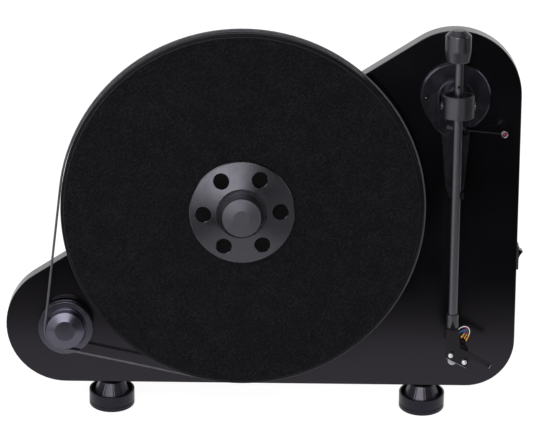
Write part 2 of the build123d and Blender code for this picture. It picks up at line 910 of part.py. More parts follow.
# Pulley: a flanged groove for 33 turns a minute and a plain step, the larger one unused here
groove_n = pulley_gap + pulley_back_flange
front_n = groove_n + pulley_groove
step_n = front_n + pulley_front_flange
nose_n = step_n + pulley_step
shaft_bore = motor_shaft_radius + running_fit
pulley = turned(section(motor_u, motor_v, 0), [
    (shaft_bore, pulley_gap), (pulley_flange_radius, pulley_gap), (pulley_flange_radius, groove_n),
    (pulley_groove_radius, groove_n), (pulley_groove_radius, front_n), (pulley_flange_radius, front_n),
    (pulley_flange_radius, step_n), (pulley_step_radius, step_n), (pulley_step_radius, nose_n),
    (pulley_flat_radius, nose_n + pulley_chamfer), (0, nose_n + pulley_chamfer),
    (0, pulley_gap + motor_shaft_in_pulley), (shaft_bore, pulley_gap + motor_shaft_in_pulley),
])
save(pulley, "pulley")

with BuildPart() as motor_shaft:
    with BuildSketch(facing(motor_u, motor_v, pulley_gap + motor_shaft_in_pulley)):
        Circle(motor_shaft_radius)
    extrude(amount=motor_front + motor_boss - motor_shaft_depth - pulley_gap - motor_shaft_in_pulley)
save(motor_shaft.part, "motor_shaft")

# Belt: one loop round the platter's rim and the pulley's plain step
belt_round_platter = platter_radius + air_gap + belt_radius
belt_round_pulley = pulley_step_radius + air_gap + belt_radius
towards_motor = atan2(motor_v, motor_u)
spread = acos((belt_round_platter - belt_round_pulley) / hypot(motor_u, motor_v))
with BuildPart() as drive_belt:
    with BuildLine(facing(0, 0, belt_n)) as loop:
        rim_first = rim(0, 0, belt_round_platter, towards_motor + spread)
        rim_far = rim(0, 0, belt_round_platter, towards_motor + pi)
        rim_last = rim(0, 0, belt_round_platter, towards_motor - spread)
        step_first = rim(motor_u, motor_v, belt_round_pulley, towards_motor - spread)
        step_far = rim(motor_u, motor_v, belt_round_pulley, towards_motor)
        step_last = rim(motor_u, motor_v, belt_round_pulley, towards_motor + spread)
        platter_arc = ThreePointArc(rim_first, rim_far, rim_last)
        Line(rim_last, step_first)
        ThreePointArc(step_first, step_far, step_last)
        Line(step_last, rim_first)
    with BuildSketch(Plane(origin=platter_arc @ 0, z_dir=platter_arc % 0)):
        Circle(belt_radius)
    sweep(path=loop.line)
belt_length = sum(edge.length for edge in loop.edges())
print("belt: volume over section times length", drive_belt.part.volume / (pi * belt_radius**2 * belt_length))
save(drive_belt.part, "drive_belt")

# Cover over the motor and its electronics, open towards the board
inlet_hole_radius = inlet_nose_radius + running_fit
with BuildPart() as motor_cover:
    with BuildSketch(facing(0, 0, board_back)) as outline:
        with BuildLine():
            ThreePointArc(
                rim(motor_u, motor_v, cover_left_radius, pi / 2),
                rim(motor_u, motor_v, cover_left_radius, pi),
                rim(motor_u, motor_v, cover_left_radius, -pi / 2),
            )
            FilletPolyline(
                rim(motor_u, motor_v, cover_left_radius, -pi / 2),
                (cover_right_u, motor_v - cover_left_radius),
                (cover_right_u, motor_v + cover_left_radius),
                rim(motor_u, motor_v, cover_left_radius, pi / 2),
                radius=cover_corner,
            )
        make_face()
    extrude(amount=-cover_depth)
    fillet(motor_cover.faces().sort_by(Axis(home, out))[0].edges(), cover_edge)
    with BuildSketch(facing(0, 0, board_back)):
        offset(outline.sketch_local, amount=-cover_wall)
    extrude(amount=-cover_depth + cover_wall, mode=Mode.SUBTRACT)
    with BuildSketch(facing(0, 0, board_back)):
        with Locations(*cover_places):
            Circle(cover_post_radius)
    extrude(amount=-cover_depth + cover_wall)
    with BuildSketch(facing(0, 0, board_back)):
        with Locations(*cover_places):
            Circle(screw_radius + running_fit)
        with Locations((inlet_u, inlet_v)):
            Circle(inlet_hole_radius)
    extrude(amount=-cover_depth, mode=Mode.SUBTRACT)
save(motor_cover.part, "motor_cover")

# Control board on four stand-offs, with a few large components
pcb_n = board_back - pcb_post
pcb_middle_u = pcb_left_u + pcb_width / 2
pcb_middle_v = pcb_low_v + pcb_height / 2
with BuildPart() as control_board:
    with BuildSketch(backing(pcb_middle_u, pcb_middle_v, board_back)):
        with GridLocations(pcb_width - 2 * pcb_post_inset, pcb_height - 2 * pcb_post_inset, 2, 2):
            Circle(pcb_post_radius)
    extrude(amount=pcb_post)
    with BuildSketch(backing(pcb_middle_u, pcb_middle_v, pcb_n)):
        Rectangle(pcb_width, pcb_height)
    extrude(amount=pcb_thickness)
    with BuildSketch(backing(pcb_middle_u, pcb_middle_v, pcb_n - pcb_thickness)):
        Rectangle(chip_size, chip_size)
    extrude(amount=chip_height)
    with BuildSketch(backing(pcb_middle_u + pcb_width / 4, pcb_middle_v, pcb_n - pcb_thickness)):
        with GridLocations(capacitor_pitch, 0, 2, 1):
            Circle(capacitor_radius)
    extrude(amount=capacitor_height)
save(control_board.part, "control_board")

# Power inlet, looking out of the cover's back
with BuildPart() as power_inlet:
    with BuildSketch(backing(inlet_u, inlet_v, cover_inside)):
        Rectangle(inlet_body, inlet_body)
    extrude(amount=-inlet_depth)
    with BuildSketch(backing(inlet_u, inlet_v, cover_inside)):
        Circle(inlet_nose_radius)
    extrude(amount=cover_wall + inlet_nose)
    with BuildSketch(backing(inlet_u, inlet_v, cover_back - inlet_nose)):
        Circle(inlet_bore)
        Circle(inlet_pin_radius, mode=Mode.SUBTRACT)
    extrude(amount=-inlet_bore_depth, mode=Mode.SUBTRACT)
save(power_inlet.part, "power_inlet")

# Cover behind the arm, with two signal sockets and a ground stud
signal_u = (signal_cover_left_u + signal_cover_right_u) / 2
signal_v = (signal_cover_low_v + signal_cover_high_v) / 2
signal_width = signal_cover_right_u - signal_cover_left_u
signal_height = signal_cover_high_v - signal_cover_low_v
with BuildPart() as socket_cover:
    with BuildSketch(facing(signal_u, signal_v, board_back)):
        RectangleRounded(signal_width, signal_height, cover_corner)
    extrude(amount=-signal_cover_depth)
    fillet(socket_cover.faces().sort_by(Axis(home, out))[0].edges(), cover_edge)
    with BuildSketch(facing(signal_u, signal_v, board_back)):
        inside_width = signal_width - 2 * cover_wall
        inside_height = signal_height - 2 * cover_wall
        RectangleRounded(inside_width, inside_height, cover_corner - cover_wall)
    extrude(amount=-signal_cover_depth + cover_wall, mode=Mode.SUBTRACT)
    with BuildSketch(facing(0, 0, board_back)):
        with Locations(*signal_places):
            Circle(cover_post_radius)
    extrude(amount=-signal_cover_depth + cover_wall)
    with BuildSketch(facing(0, 0, board_back)):
        with Locations(*signal_places):
            Circle(screw_radius + running_fit)
        with Locations((signal_u, socket_v)):
            with GridLocations(socket_pitch, 0, 2, 1):
                Circle(socket_body_radius + running_fit)
        with Locations((signal_u, ground_v)):
            Circle(ground_stud_radius + running_fit)
    extrude(amount=-signal_cover_depth, mode=Mode.SUBTRACT)
save(socket_cover.part, "socket_cover")

socket_end_n = signal_back - socket_flange - socket_barrel
for name, side in (("left", -1), ("right", 1)):
    socket = turned(section(signal_u + side * socket_pitch / 2, socket_v, 0), [
        (0, signal_back + socket_body), (socket_body_radius, signal_back + socket_body),
        (socket_body_radius, signal_back), (socket_flange_radius, signal_back),
        (socket_flange_radius, signal_back - socket_flange),
        (socket_barrel_radius, signal_back - socket_flange), (socket_barrel_radius, socket_end_n),
        (socket_bore, socket_end_n),
        (socket_bore, socket_end_n + socket_bore_depth), (0, socket_end_n + socket_bore_depth),
    ])
    save(socket, f"phono_socket_{name}")

ground_stud = turned(section(signal_u, ground_v, 0), [
    (0, signal_inside + ground_head), (ground_head_radius, signal_inside + ground_head),
    (ground_head_radius, signal_inside), (ground_stud_radius, signal_inside),
    (ground_stud_radius, signal_back - ground_stud_length), (0, signal_back - ground_stud_length),
])
save(ground_stud, "ground_stud")

with BuildPart() as ground_nut:
    with BuildSketch(facing(signal_u, ground_v, signal_back - running_fit)):
        Circle(ground_nut_radius)
        Circle(ground_stud_radius + running_fit, mode=Mode.SUBTRACT)
        with PolarLocations(ground_nut_radius, ground_nut_notches):
            Circle(ground_nut_notch, mode=Mode.SUBTRACT)
    extrude(amount=-ground_nut_height)
save(ground_nut.part, "ground_nut")

cover_screw_pieces = [
    pan_screw(backing(u, v, back), screw_radius, screw_head_radius, screw_head_height,
              board_back - back + cover_screw_bite)
    for places, back in ((cover_places, cover_back), (signal_places, signal_back))
    for u, v in places
]
with BuildPart() as cover_screw_group:
    add(cover_screw_pieces)
save(cover_screw_group.part, "cover_screws")

# Rocker switch in the right edge of the board, and its cable in the groove behind
bezel_face = board_right + switch_bezel_proud
rocker_gap = rocker_radius + air_gap
with BuildPart() as switch_housing:
    with BuildSketch(sideways(board_right, switch_v, board_middle)):
        Rectangle(switch_bezel, switch_bezel_width)
    extrude(amount=switch_bezel_proud)
    with BuildSketch(sideways(board_right, switch_v, board_middle)):
        Rectangle(switch_body, switch_body_width)
    extrude(amount=-switch_depth)
    with BuildSketch(sideways(bezel_face, switch_v, board_middle)):
        Rectangle(2 * rocker_gap, rocker_width + 2 * air_gap)
    extrude(amount=-rocker_gap - switch_bezel_proud, mode=Mode.SUBTRACT)
    with BuildSketch(facing(board_right, switch_v, board_middle)):
        Circle(rocker_pin_radius + running_fit)
    extrude(amount=rocker_width / 2 + rocker_pin + air_gap, both=True, mode=Mode.SUBTRACT)
save(switch_housing.part, "switch_housing")

with BuildPart() as power_rocker:
    with BuildSketch(facing(board_right, switch_v, board_middle)):
        with BuildLine():
            apex = rim(0, 0, rocker_radius, pi / 2 - radians(rocker_apex_angle))
            low_end = rim(0, 0, rocker_radius, pi / 2 - radians(rocker_low_angle))
            dish_angle = pi / 2 - radians((rocker_apex_angle + rocker_low_angle) / 2)
            dish = rocker_radius * cos(radians((rocker_low_angle - rocker_apex_angle) / 2)) - rocker_dish
            ThreePointArc(low_end, rim(0, 0, dish, dish_angle), apex)
            ThreePointArc(apex, rim(0, 0, rocker_radius, dish_angle + pi), low_end)
        make_face()
    extrude(amount=rocker_width / 2, both=True)
    with BuildSketch(facing(board_right, switch_v, board_middle)):
        Circle(rocker_pin_radius)
    extrude(amount=rocker_width / 2 + rocker_pin, both=True)
save(power_rocker.part, "power_rocker")

cable_n = board_back + cable_groove_depth - cable_radius - running_fit
with BuildPart() as switch_cable:
    with BuildLine(facing(0, 0, cable_n)) as run:
        FilletPolyline(*cable_route, radius=[cable_bend, cable_exit_bend])
    with BuildSketch(Plane(origin=run.line @ 0, z_dir=run.line % 0)):
        Circle(cable_radius)
    sweep(path=run.line)
save(switch_cable.part, "switch_cable")

# Screws that come in from behind: main bearing, arm pillar and outrigger
def back_screws(places, face_n):
    """Screws with their heads on a face behind the board, as one group."""
    pieces = [
        pan_screw(backing(u, v, face_n), screw_radius, screw_head_radius, screw_head_height, screw_grip)
        for u, v in places
    ]
    with BuildPart() as group:
        add(pieces)
    return group.part


housing_screw_group = back_screws(housing_places, board_back - housing_flange)
pillar_screw_group = back_screws(pillar_screw_places, board_back - pillar_flange)
with BuildPart() as bearing_screws:
    add([housing_screw_group, pillar_screw_group])
save(bearing_screws.part, "bearing_screws")
save(back_screws(flange_places, board_back - flange_thickness), "outrigger_screws")

# Arm base: a bevelled disc, the collar round the swing bearing, and the tongue under the tube
with BuildPart() as arm_base:
    add(turned(section(arm_u, base_v, 0), [
        (0, 0), (base_radius, 0), (base_radius, base_thickness - base_bevel),
        (base_radius - base_bevel, base_thickness), (collar_radius, base_thickness),
        (collar_radius - collar_edge, collar_top), (0, collar_top),
    ]))
    add(turned(section(arm_u + lobe_shift, base_v - lobe_drop, 0), [
        (0, 0), (lobe_radius, 0), (lobe_radius, base_thickness - base_bevel),
        (lobe_radius - base_bevel, base_thickness), (0, base_thickness),
    ]))
    with BuildSketch(facing(0, 0, 0)):
        with BuildLine():
            Polyline(
                (arm_u - collar_radius, base_v), (arm_u + tongue_end_left, tongue_shoulder_v),
                (arm_u + tongue_nose_left, tongue_end_v), (arm_u + tongue_nose_right, tongue_end_v),
                (arm_u + tongue_end_right, tongue_shoulder_v), (arm_u + collar_radius, base_v),
                close=True,
            )
        make_face()
    extrude(amount=tongue_top)
    with BuildSketch(facing(arm_u, base_v, well_floor)):
        Circle(well_radius)
    extrude(amount=collar_top, mode=Mode.SUBTRACT)
    with BuildSketch(facing(0, 0, 0)):
        with Locations((arm_u, arm_v)):
            Circle(pillar_radius + loose_fit)
        with Locations((arm_u - base_screw_offset, base_v)):
            Circle(screw_radius + running_fit)
        with Locations((arm_u + rest_screw_offset, rest_middle_v)):
            Circle(rest_screw_radius + running_fit)
    extrude(amount=collar_top, mode=Mode.SUBTRACT)
    with BuildSketch(facing(arm_u, arm_v - platform_radius, platform_stem_floor)):
        Circle(platform_stem_radius + running_fit)
    extrude(amount=collar_top, mode=Mode.SUBTRACT)
    with BuildSketch(facing(lever_axis_u - lever_slot_reach, lever_v, lever_floor)):
        Rectangle(collar_radius, lever_slot, align=(Align.MIN, Align.CENTER))
    extrude(amount=collar_top, mode=Mode.SUBTRACT)
    with BuildSketch(climbing(lever_axis_u, lever_v, lever_axis_n)):
        Circle(lever_pin_radius + running_fit)
    extrude(amount=lever_slot / 2 + lever_pin_bite, both=True, mode=Mode.SUBTRACT)
save(arm_base.part, "arm_base")

base_screw = pan_screw(facing(arm_u - base_screw_offset, base_v, base_thickness), screw_radius,
                       base_screw_head, screw_head_height, base_screw_grip)
rest_screw = pan_screw(facing(arm_u + rest_screw_offset, rest_middle_v, tongue_top + rest_foot),
                       rest_screw_radius, rest_screw_head, rest_screw_head_height, rest_screw_grip)
with BuildPart() as arm_base_screws:
    add([base_screw, rest_screw])
save(arm_base_screws.part, "arm_base_screws")

# Swing bearing: a pillar through the board with a bush at each end, and the post in them
pillar_back = board_back - pillar_flange
with BuildPart() as arm_pillar:
    add(turned(section(arm_u, arm_v, 0), [
        (pillar_bore, pillar_top), (pillar_radius, pillar_top), (pillar_radius, board_back),
        (pillar_flange_radius, board_back), (pillar_flange_radius, pillar_back), (pillar_bore, pillar_back),
    ]))
    with BuildSketch(facing(0, 0, board_back)):
        with Locations(*pillar_screw_places):
            Circle(screw_radius + running_fit)
    extrude(amount=-pillar_flange, mode=Mode.SUBTRACT)
save(arm_pillar.part, "arm_pillar")

with BuildPart() as swing_bushes:
    for n in (pillar_top, pillar_back + swing_bush_length):
        with BuildSketch(facing(arm_u, arm_v, n)):
            Circle(pillar_bore - running_fit)
            Circle(swing_radius + running_fit, mode=Mode.SUBTRACT)
        extrude(amount=-swing_bush_length)
save(swing_bushes.part, "swing_bushes")

saddle_top = arm_height - ring_radius + ring_flat
saddle_back = pillar_top + saddle_gap
post_end = pillar_back - saddle_gap - swing_collar
swing_post = turned(section(arm_u, arm_v, 0), [
    (0, post_end), (swing_collar_radius, post_end), (swing_collar_radius, post_end + swing_collar),
    (swing_radius, post_end + swing_collar), (swing_radius, saddle_back), (saddle_radius, saddle_back),
    (saddle_waist_radius, (saddle_back + saddle_top) / 2), (saddle_radius, saddle_top), (0, saddle_top),
])
save(swing_post, "swing_post")

# Gimbal ring, and the two pointed screws that the arm tilts on
ring_low_v = arm_v - ring_length / 2
ring_bore = ring_radius - ring_wall
with BuildPart() as gimbal_ring:
    add(turned(facing(arm_u, ring_low_v, arm_height), [
        (ring_bore, 0), (ring_radius - ring_edge, 0), (ring_radius, ring_edge),
        (ring_radius, ring_length - ring_edge), (ring_radius - ring_edge, ring_length),
        (ring_bore, ring_length),
    ]))
    with BuildSketch(facing(arm_u, arm_v, saddle_top)):
        Rectangle(2 * ring_radius, ring_length)
    extrude(amount=-ring_flat, mode=Mode.SUBTRACT)
    for side in (-1, 1):
        with BuildSketch(sideways(arm_u + side * ring_radius, arm_v, arm_height)):
            Circle(pivot_head_radius + loose_fit)
        extrude(amount=-side * pivot_seat, mode=Mode.SUBTRACT)
    with BuildSketch(sideways(arm_u, arm_v, arm_height)):
        Circle(pivot_radius + running_fit)
    extrude(amount=ring_radius, both=True, mode=Mode.SUBTRACT)
save(gimbal_ring.part, "gimbal_ring")

pivot_seat_reach = ring_radius - pivot_seat
pivot_head_reach = pivot_seat_reach + pivot_head
shank_reach = arm_hub_radius + arm_hub_gap
tip_reach = shank_reach - pivot_tip
pivot_pieces = [
    turned(endways(arm_u, arm_v, arm_height), [
        (0, side * tip_reach), (pivot_tip_radius, side * tip_reach), (pivot_tip_radius, side * shank_reach),
        (pivot_radius, side * shank_reach), (pivot_radius, side * pivot_seat_reach),
        (pivot_head_radius, side * pivot_seat_reach), (pivot_head_radius, side * pivot_head_reach),
        (0, side * pivot_head_reach),
    ])
    for side in (-1, 1)
]
with BuildPart() as pivot_screws:
    add(pivot_pieces)
save(pivot_screws.part, "pivot_screws")

# Arm: a hub in the ring, the thin tube in front of it and the stub behind
hub_low_v = arm_v - arm_hub_length / 2
hub_high_v = arm_v + arm_hub_length / 2
tube_high_v = hub_high_v - arm_hub_end
with BuildPart() as arm_hub:
    add(turned(facing(arm_u, 0, arm_height), [
        (tube_radius + running_fit, hub_low_v), (arm_hub_radius, hub_low_v), (arm_hub_radius, hub_high_v),
        (stub_radius, hub_high_v), (stub_radius, stub_end_v), (0, stub_end_v), (0, tube_high_v),
        (tube_radius + running_fit, tube_high_v),
    ]))
    with BuildSketch(sideways(arm_u, arm_v, arm_height)):
        Circle(pivot_tip_radius + running_fit)
    extrude(amount=arm_hub_radius, both=True, mode=Mode.SUBTRACT)
    with BuildSketch(facing(arm_u, stub_hole_v, arm_height + stub_radius)):
        Circle(stub_hole_radius)
    extrude(amount=-stub_hole_depth, mode=Mode.SUBTRACT)
save(arm_hub.part, "arm_hub")

sleeve_high_v = tube_front_v
sleeve_low_v = tube_front_v - sleeve_length
tube_low_v = sleeve_high_v - sleeve_overlap
with BuildPart() as arm_tube:
    with BuildSketch(climbing(arm_u, tube_low_v, arm_height)):
        Circle(tube_radius)
        Circle(tube_radius - tube_wall, mode=Mode.SUBTRACT)
    extrude(amount=tube_high_v - tube_low_v)
    with BuildSketch(sideways(arm_u, arm_v, arm_height)):
        Circle(pivot_tip_radius + running_fit)
    extrude(amount=tube_radius, both=True, mode=Mode.SUBTRACT)
save(arm_tube.part, "arm_tube")

with BuildPart() as counterweight:
    add(turned(facing(arm_u + weight_offset, weight_low_v, arm_height), [
        (0, 0), (weight_low_radius, 0), (weight_radius, weight_taper),
        (weight_radius, weight_length - weight_chamfer), (weight_high_radius, weight_length),
        (0, weight_length),
    ]))
    with BuildSketch(climbing(arm_u, weight_low_v, arm_height)):
        Circle(stub_radius + running_fit)
    extrude(amount=weight_length - weight_bore_end, mode=Mode.SUBTRACT)
save(counterweight.part, "counterweight")


# Headshell: x runs along the cartridge's front edge and y back towards the tube
def on_shell(x, y):
    """The board's u and v for a point on the turned headshell."""
    return (headshell_u + x * cos(turn) + y * sin(turn), headshell_v - x * sin(turn) + y * cos(turn))


def shell(x, y, n):
    """Plane parallel to the board, turned with the headshell."""
    u, v = on_shell(x, y)
    return Plane(origin=at(u, v, n), x_dir=across * cos(turn) - climb * sin(turn), z_dir=out)


shell_back_n = shell_top - shell_thickness
slot_length = slot_front + slot_back
slot_middle = (slot_back - slot_front) / 2
screw_offsets = (-cartridge_pitch / 2, cartridge_pitch / 2)
with BuildPart() as headshell:
    with BuildSketch(climbing(arm_u, sleeve_low_v, arm_height)):
        Circle(sleeve_radius)
    extrude(amount=sleeve_length)
    with BuildSketch(climbing(arm_u, tube_low_v, arm_height)):
        Circle(tube_radius + running_fit)
    extrude(amount=sleeve_overlap, mode=Mode.SUBTRACT)
    with BuildSketch(facing(0, 0, shell_top)):
        with BuildLine():
            Polyline(
                (arm_u, sleeve_low_v + sleeve_notch), (arm_u - sleeve_notch_width / 2, sleeve_low_v),
                (arm_u + sleeve_notch_width / 2, sleeve_low_v), close=True,
            )
        make_face()
    extrude(amount=sleeve_radius, mode=Mode.SUBTRACT)
    with BuildSketch(facing(0, 0, shell_back_n)):
        with BuildLine():
            Polyline(
                (arm_u - neck_half_width, sleeve_low_v), (arm_u + neck_half_width, sleeve_low_v),
                on_shell(neck_foot, shell_back), on_shell(-shell_left, -shell_front), close=True,
            )
        make_face()
    extrude(amount=shell_thickness)
    with BuildSketch(shell(0, 0, shell_back_n)):
        with BuildLine():
            Polyline(
                (-shell_left, -shell_front), (shell_right, -shell_front), (shell_right, shell_back),
                (-shell_left, shell_back), close=True,
            )
        make_face()
    extrude(amount=shell_thickness)
    with BuildSketch(shell(0, 0, shell_back_n)):
        with Locations((screw_offsets[0], slot_middle), (screw_offsets[1], slot_middle)):
            SlotOverall(slot_length, 2 * slot_half_width, rotation=90)
    extrude(amount=shell_thickness, mode=Mode.SUBTRACT)
    with BuildSketch(shell(shell_right, finger_low, shell_top - finger_thickness)):
        Rectangle(finger_reach - shell_right, shell_back - finger_low, align=(Align.MIN, Align.MIN))
    extrude(amount=finger_thickness)
    with BuildSketch(shell(finger_reach, finger_low, shell_top)):
        Rectangle(finger_lip_width, shell_back - finger_low, align=(Align.MAX, Align.MIN))
    extrude(amount=finger_lip)
save(headshell.part, "headshell")

shell_screw_pieces = [
    pan_screw(shell(x, 0, shell_top), cartridge_screw_radius, cartridge_screw_head,
              cartridge_screw_head_height, cartridge_screw_grip)
    for x in screw_offsets
]
with BuildPart() as cartridge_screws:
    add(shell_screw_pieces)
save(cartridge_screws.part, "cartridge_screws")

# Cartridge, with a pocket for the stylus block in its front and four pins in its rear
nose_top_n = shell_back_n - nose_top
clip_places = [
    (clip_shift + side * clip_spreads[row], shell_back_n - clip_drop - row * clip_pitch)
    for side in (-1, 1) for row in (0, 1)
]


def behind(x, y, n):
    """Plane square to the cartridge's length, which extrudes towards its rear."""
    u, v = on_shell(x, y)
    return Plane(origin=at(u, v, n), x_dir=out, z_dir=across * sin(turn) + climb * cos(turn))


with BuildPart() as cartridge:
    with BuildSketch(shell(0, 0, shell_back_n)):
        with BuildLine():
            Polyline(
                (-cartridge_flange_half, -cartridge_flange_front),
                (cartridge_flange_half, -cartridge_flange_front),
                (cartridge_flange_half, cartridge_flange_back),
                (-cartridge_flange_half, cartridge_flange_back), close=True,
            )
        make_face()
    extrude(amount=-cartridge_flange)
    with BuildSketch(shell(0, 0, shell_back_n)):
        with BuildLine():
            Polyline(
                (-cartridge_half, -cartridge_front), (cartridge_half, -cartridge_front),
                (cartridge_half, cartridge_rear - cartridge_tail),
                (clip_shift + cartridge_tail_half, cartridge_rear - cartridge_tail),
                (clip_shift + cartridge_tail_half, cartridge_rear), (-cartridge_half, cartridge_rear),
                close=True,
            )
        make_face()
    extrude(amount=-cartridge_height)
    with BuildSketch(shell(nose_shift, -nose_front, nose_top_n + air_gap)):
        Circle(nose_radius + running_fit)
    extrude(amount=-cartridge_height, mode=Mode.SUBTRACT)
    with BuildSketch(shell(0, 0, shell_back_n)):
        with Locations((screw_offsets[0], 0), (screw_offsets[1], 0)):
            Circle(cartridge_screw_radius + running_fit)
    extrude(amount=-cartridge_flange, mode=Mode.SUBTRACT)
    for x, n in clip_places:
        with BuildSketch(behind(x, cartridge_rear, n)):
            Circle(pin_radius)
        extrude(amount=pin_length)
save(cartridge.part, "cartridge")

stylus_tip_n = mat_top + stylus_clearance
with BuildPart() as stylus:
    with BuildSketch(shell(nose_shift, -nose_front, nose_top_n)):
        Circle(nose_radius)
    extrude(amount=-nose_height)
    fillet(stylus.faces().sort_by(Axis(home, out))[-1].edges(), nose_radius / 2)
    with BuildSketch(shell(nose_shift, -nose_front, nose_top_n - nose_height)):
        Circle(cantilever_radius)
    extrude(amount=stylus_tip_n - nose_top_n + nose_height)
save(stylus.part, "stylus")

with BuildPart() as lead_clips:
    for x, n in clip_places:
        with BuildSketch(behind(x, cartridge_rear + air_gap, n)):
            Circle(clip_radius)
            Circle(clip_bore, mode=Mode.SUBTRACT)
        extrude(amount=pin_length)
        with BuildSketch(behind(x, cartridge_rear + pin_length + air_gap, n)):
            Circle(clip_radius)
        extrude(amount=clip_length - pin_length)
save(lead_clips.part, "lead_clips")


# Wires: straight runs joined by arcs as large as the runs allow
def wire(points, radius, name):
    """Tube along a route of world points, whose volume and radii are printed."""
    radii = []
    for before, corner, after in zip(points, points[1:], points[2:]):
        shorter = min((corner - before).length, (after - corner).length)
        half_turn = radians((corner - before).get_angle(after - corner)) / 2
        radii.append(0.45 * shorter / sin(half_turn) * cos(half_turn))
    with BuildPart() as tube:
        with BuildLine() as route:
            FilletPolyline(*points, radius=radii)
        with BuildSketch(Plane(origin=route.line @ 0, z_dir=route.line % 0)):
            Circle(radius)
        sweep(path=route.line)
    full = tube.part.volume / (pi * radius**2 * sum(edge.length for edge in route.edges()))
    print(name, "radii", [round(r, 1) for r in radii], "volume share", round(full, 4))
    return tube.part


lead_pieces = []
for i, (x, n) in enumerate(clip_places):
    side, row = divmod(i, 2)
    end = at(*on_shell(x, cartridge_rear + air_gap + clip_length), n)
    depths = (lead_start_depths[row], lead_start_depths[row], lead_depths[i], lead_depths[i])
    points = [
        at(arm_u + u, sleeve_low_v + v, shell_back_n - depth)
        for (u, v), depth in zip(lead_routes[side], depths)
    ]
    points.append(end + (across * sin(turn) + climb * cos(turn)) * lead_reaches[side])
    points.append(end)
    lead_pieces.append(wire(points, lead_radius, "lead"))
with BuildPart() as cartridge_leads:
    add(lead_pieces)
save(cartridge_leads.part, "cartridge_leads")

# Lift lever in the notch of the tongue
rise = radians(lever_rise)
lever_line = across * cos(rise) + out * sin(rise)
lever_end = at(lever_axis_u, lever_v, lever_axis_n) + lever_line * lever_length
with BuildPart() as lift_lever:
    with BuildSketch(climbing(lever_axis_u, lever_v, lever_axis_n)):
        Circle(lever_hub_radius)
    extrude(amount=lever_hub_length / 2, both=True)
    with BuildSketch(climbing(lever_axis_u, lever_v, lever_axis_n)):
        Circle(lever_pin_radius)
    extrude(amount=lever_slot / 2 + lever_pin_bite - loose_fit, both=True)
    with BuildSketch(Plane(origin=at(lever_axis_u, lever_v, lever_axis_n), x_dir=climb, z_dir=lever_line)):
        Circle(lever_rod_radius)
    extrude(amount=lever_length)
    with BuildSketch(Plane(origin=lever_end - out * lever_knob_length / 2, x_dir=across, z_dir=out)):
        Circle(lever_knob_radius)
    extrude(amount=lever_knob_length)
    fillet(lift_lever.faces().sort_by(Axis(home, out))[-1].edges(), lever_knob_edge)
save(lift_lever.part, "lift_lever")

# Lift platform: a short curved bar under the tube, on a stem that slides in the base
platform_top = arm_height - tube_radius - platform_gap
platform_back = platform_top - platform_thickness
bar_inner = platform_radius - platform_width / 2
bar_outer = platform_radius + platform_width / 2
bar_left = -pi / 2 - radians(platform_left_angle)
bar_right = -pi / 2 + radians(platform_right_angle)
bar_middle = (bar_left + bar_right) / 2
with BuildPart() as lift_platform:
    with BuildSketch(facing(arm_u, arm_v, platform_back)):
        with BuildLine():
            ThreePointArc(rim(0, 0, bar_outer, bar_left), rim(0, 0, bar_outer, bar_middle),
                          rim(0, 0, bar_outer, bar_right))
            Line(rim(0, 0, bar_outer, bar_right), rim(0, 0, bar_inner, bar_right))
            ThreePointArc(rim(0, 0, bar_inner, bar_right), rim(0, 0, bar_inner, bar_middle),
                          rim(0, 0, bar_inner, bar_left))
            Line(rim(0, 0, bar_inner, bar_left), rim(0, 0, bar_outer, bar_left))
        make_face()
    extrude(amount=platform_thickness)
    with BuildSketch(facing(arm_u, arm_v - platform_radius, platform_stem_floor + air_gap)):
        Circle(platform_stem_radius)
    extrude(amount=platform_back - platform_stem_floor - air_gap)
save(lift_platform.part, "lift_platform")

# Arm rest: a foot on the tongue, a stem behind the tube, a cradle and a stop on the right
cradle_top = arm_height - tube_radius - rest_gap
cradle_back = cradle_top - rest_floor
cradle_side = tube_radius + rest_side_gap
foot_top = tongue_top + rest_foot
with BuildPart() as arm_clip:
    with BuildSketch(section(arm_u, rest_v, 0)):
        with BuildLine():
            Polyline(
                (rest_foot_left, tongue_top), (rest_stem_right, tongue_top), (rest_stem_right, cradle_back),
                (cradle_side + rest_wall, cradle_back), (cradle_side + rest_wall, arm_height + rest_prong),
                (cradle_side, arm_height + rest_prong), (cradle_side, cradle_top),
                (-cradle_side - rest_lip, cradle_top), (-cradle_side - rest_lip, cradle_back),
                (rest_stem_left, cradle_back), (rest_stem_left, foot_top), (rest_foot_left, foot_top),
                close=True,
            )
        make_face()
    extrude(amount=-rest_length)
    with BuildSketch(facing(arm_u + rest_screw_offset, rest_middle_v, tongue_top)):
        Circle(rest_screw_radius + running_fit)
    extrude(amount=rest_foot, mode=Mode.SUBTRACT)
save(arm_clip.part, "arm_clip")

# Signal wires in the cover, from the arm's post to the two sockets and the ground stud
signal_pieces = []
for side, end_v, end_n in (
    (-1, socket_v, signal_back + socket_body),
    (0, ground_v, signal_inside + ground_head),
    (1, socket_v, signal_back + socket_body),
):
    start_u = signal_u + side * signal_wire_pitch
    end_u = signal_u + side * socket_pitch / 2
    signal_pieces.append(wire([
        at(start_u, arm_v, post_end - air_gap),
        at(start_u, arm_v - signal_wire_drop / 2, post_end - signal_wire_drop),
        at((start_u + end_u) / 2, (arm_v + end_v) / 2, post_end - signal_wire_drop),
        at(end_u, end_v, end_n + signal_wire_drop),
        at(end_u, end_v, end_n),
    ], signal_wire_radius, "signal wire"))
with BuildPart() as signal_wires:
    add(signal_pieces)
save(signal_wires.part, "signal_wires")
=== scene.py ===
# %% [markdown]
# # A vertical record player
# This lesson dresses a measured CAD model, so that it looks like the real thing in a
# product photograph. The model comes in as a fixed frame: it says where every part is,
# and nothing here moves it. The lesson makes the camera and the light, mixes the
# finishes, and then remakes the parts whose surface the eye goes to first.

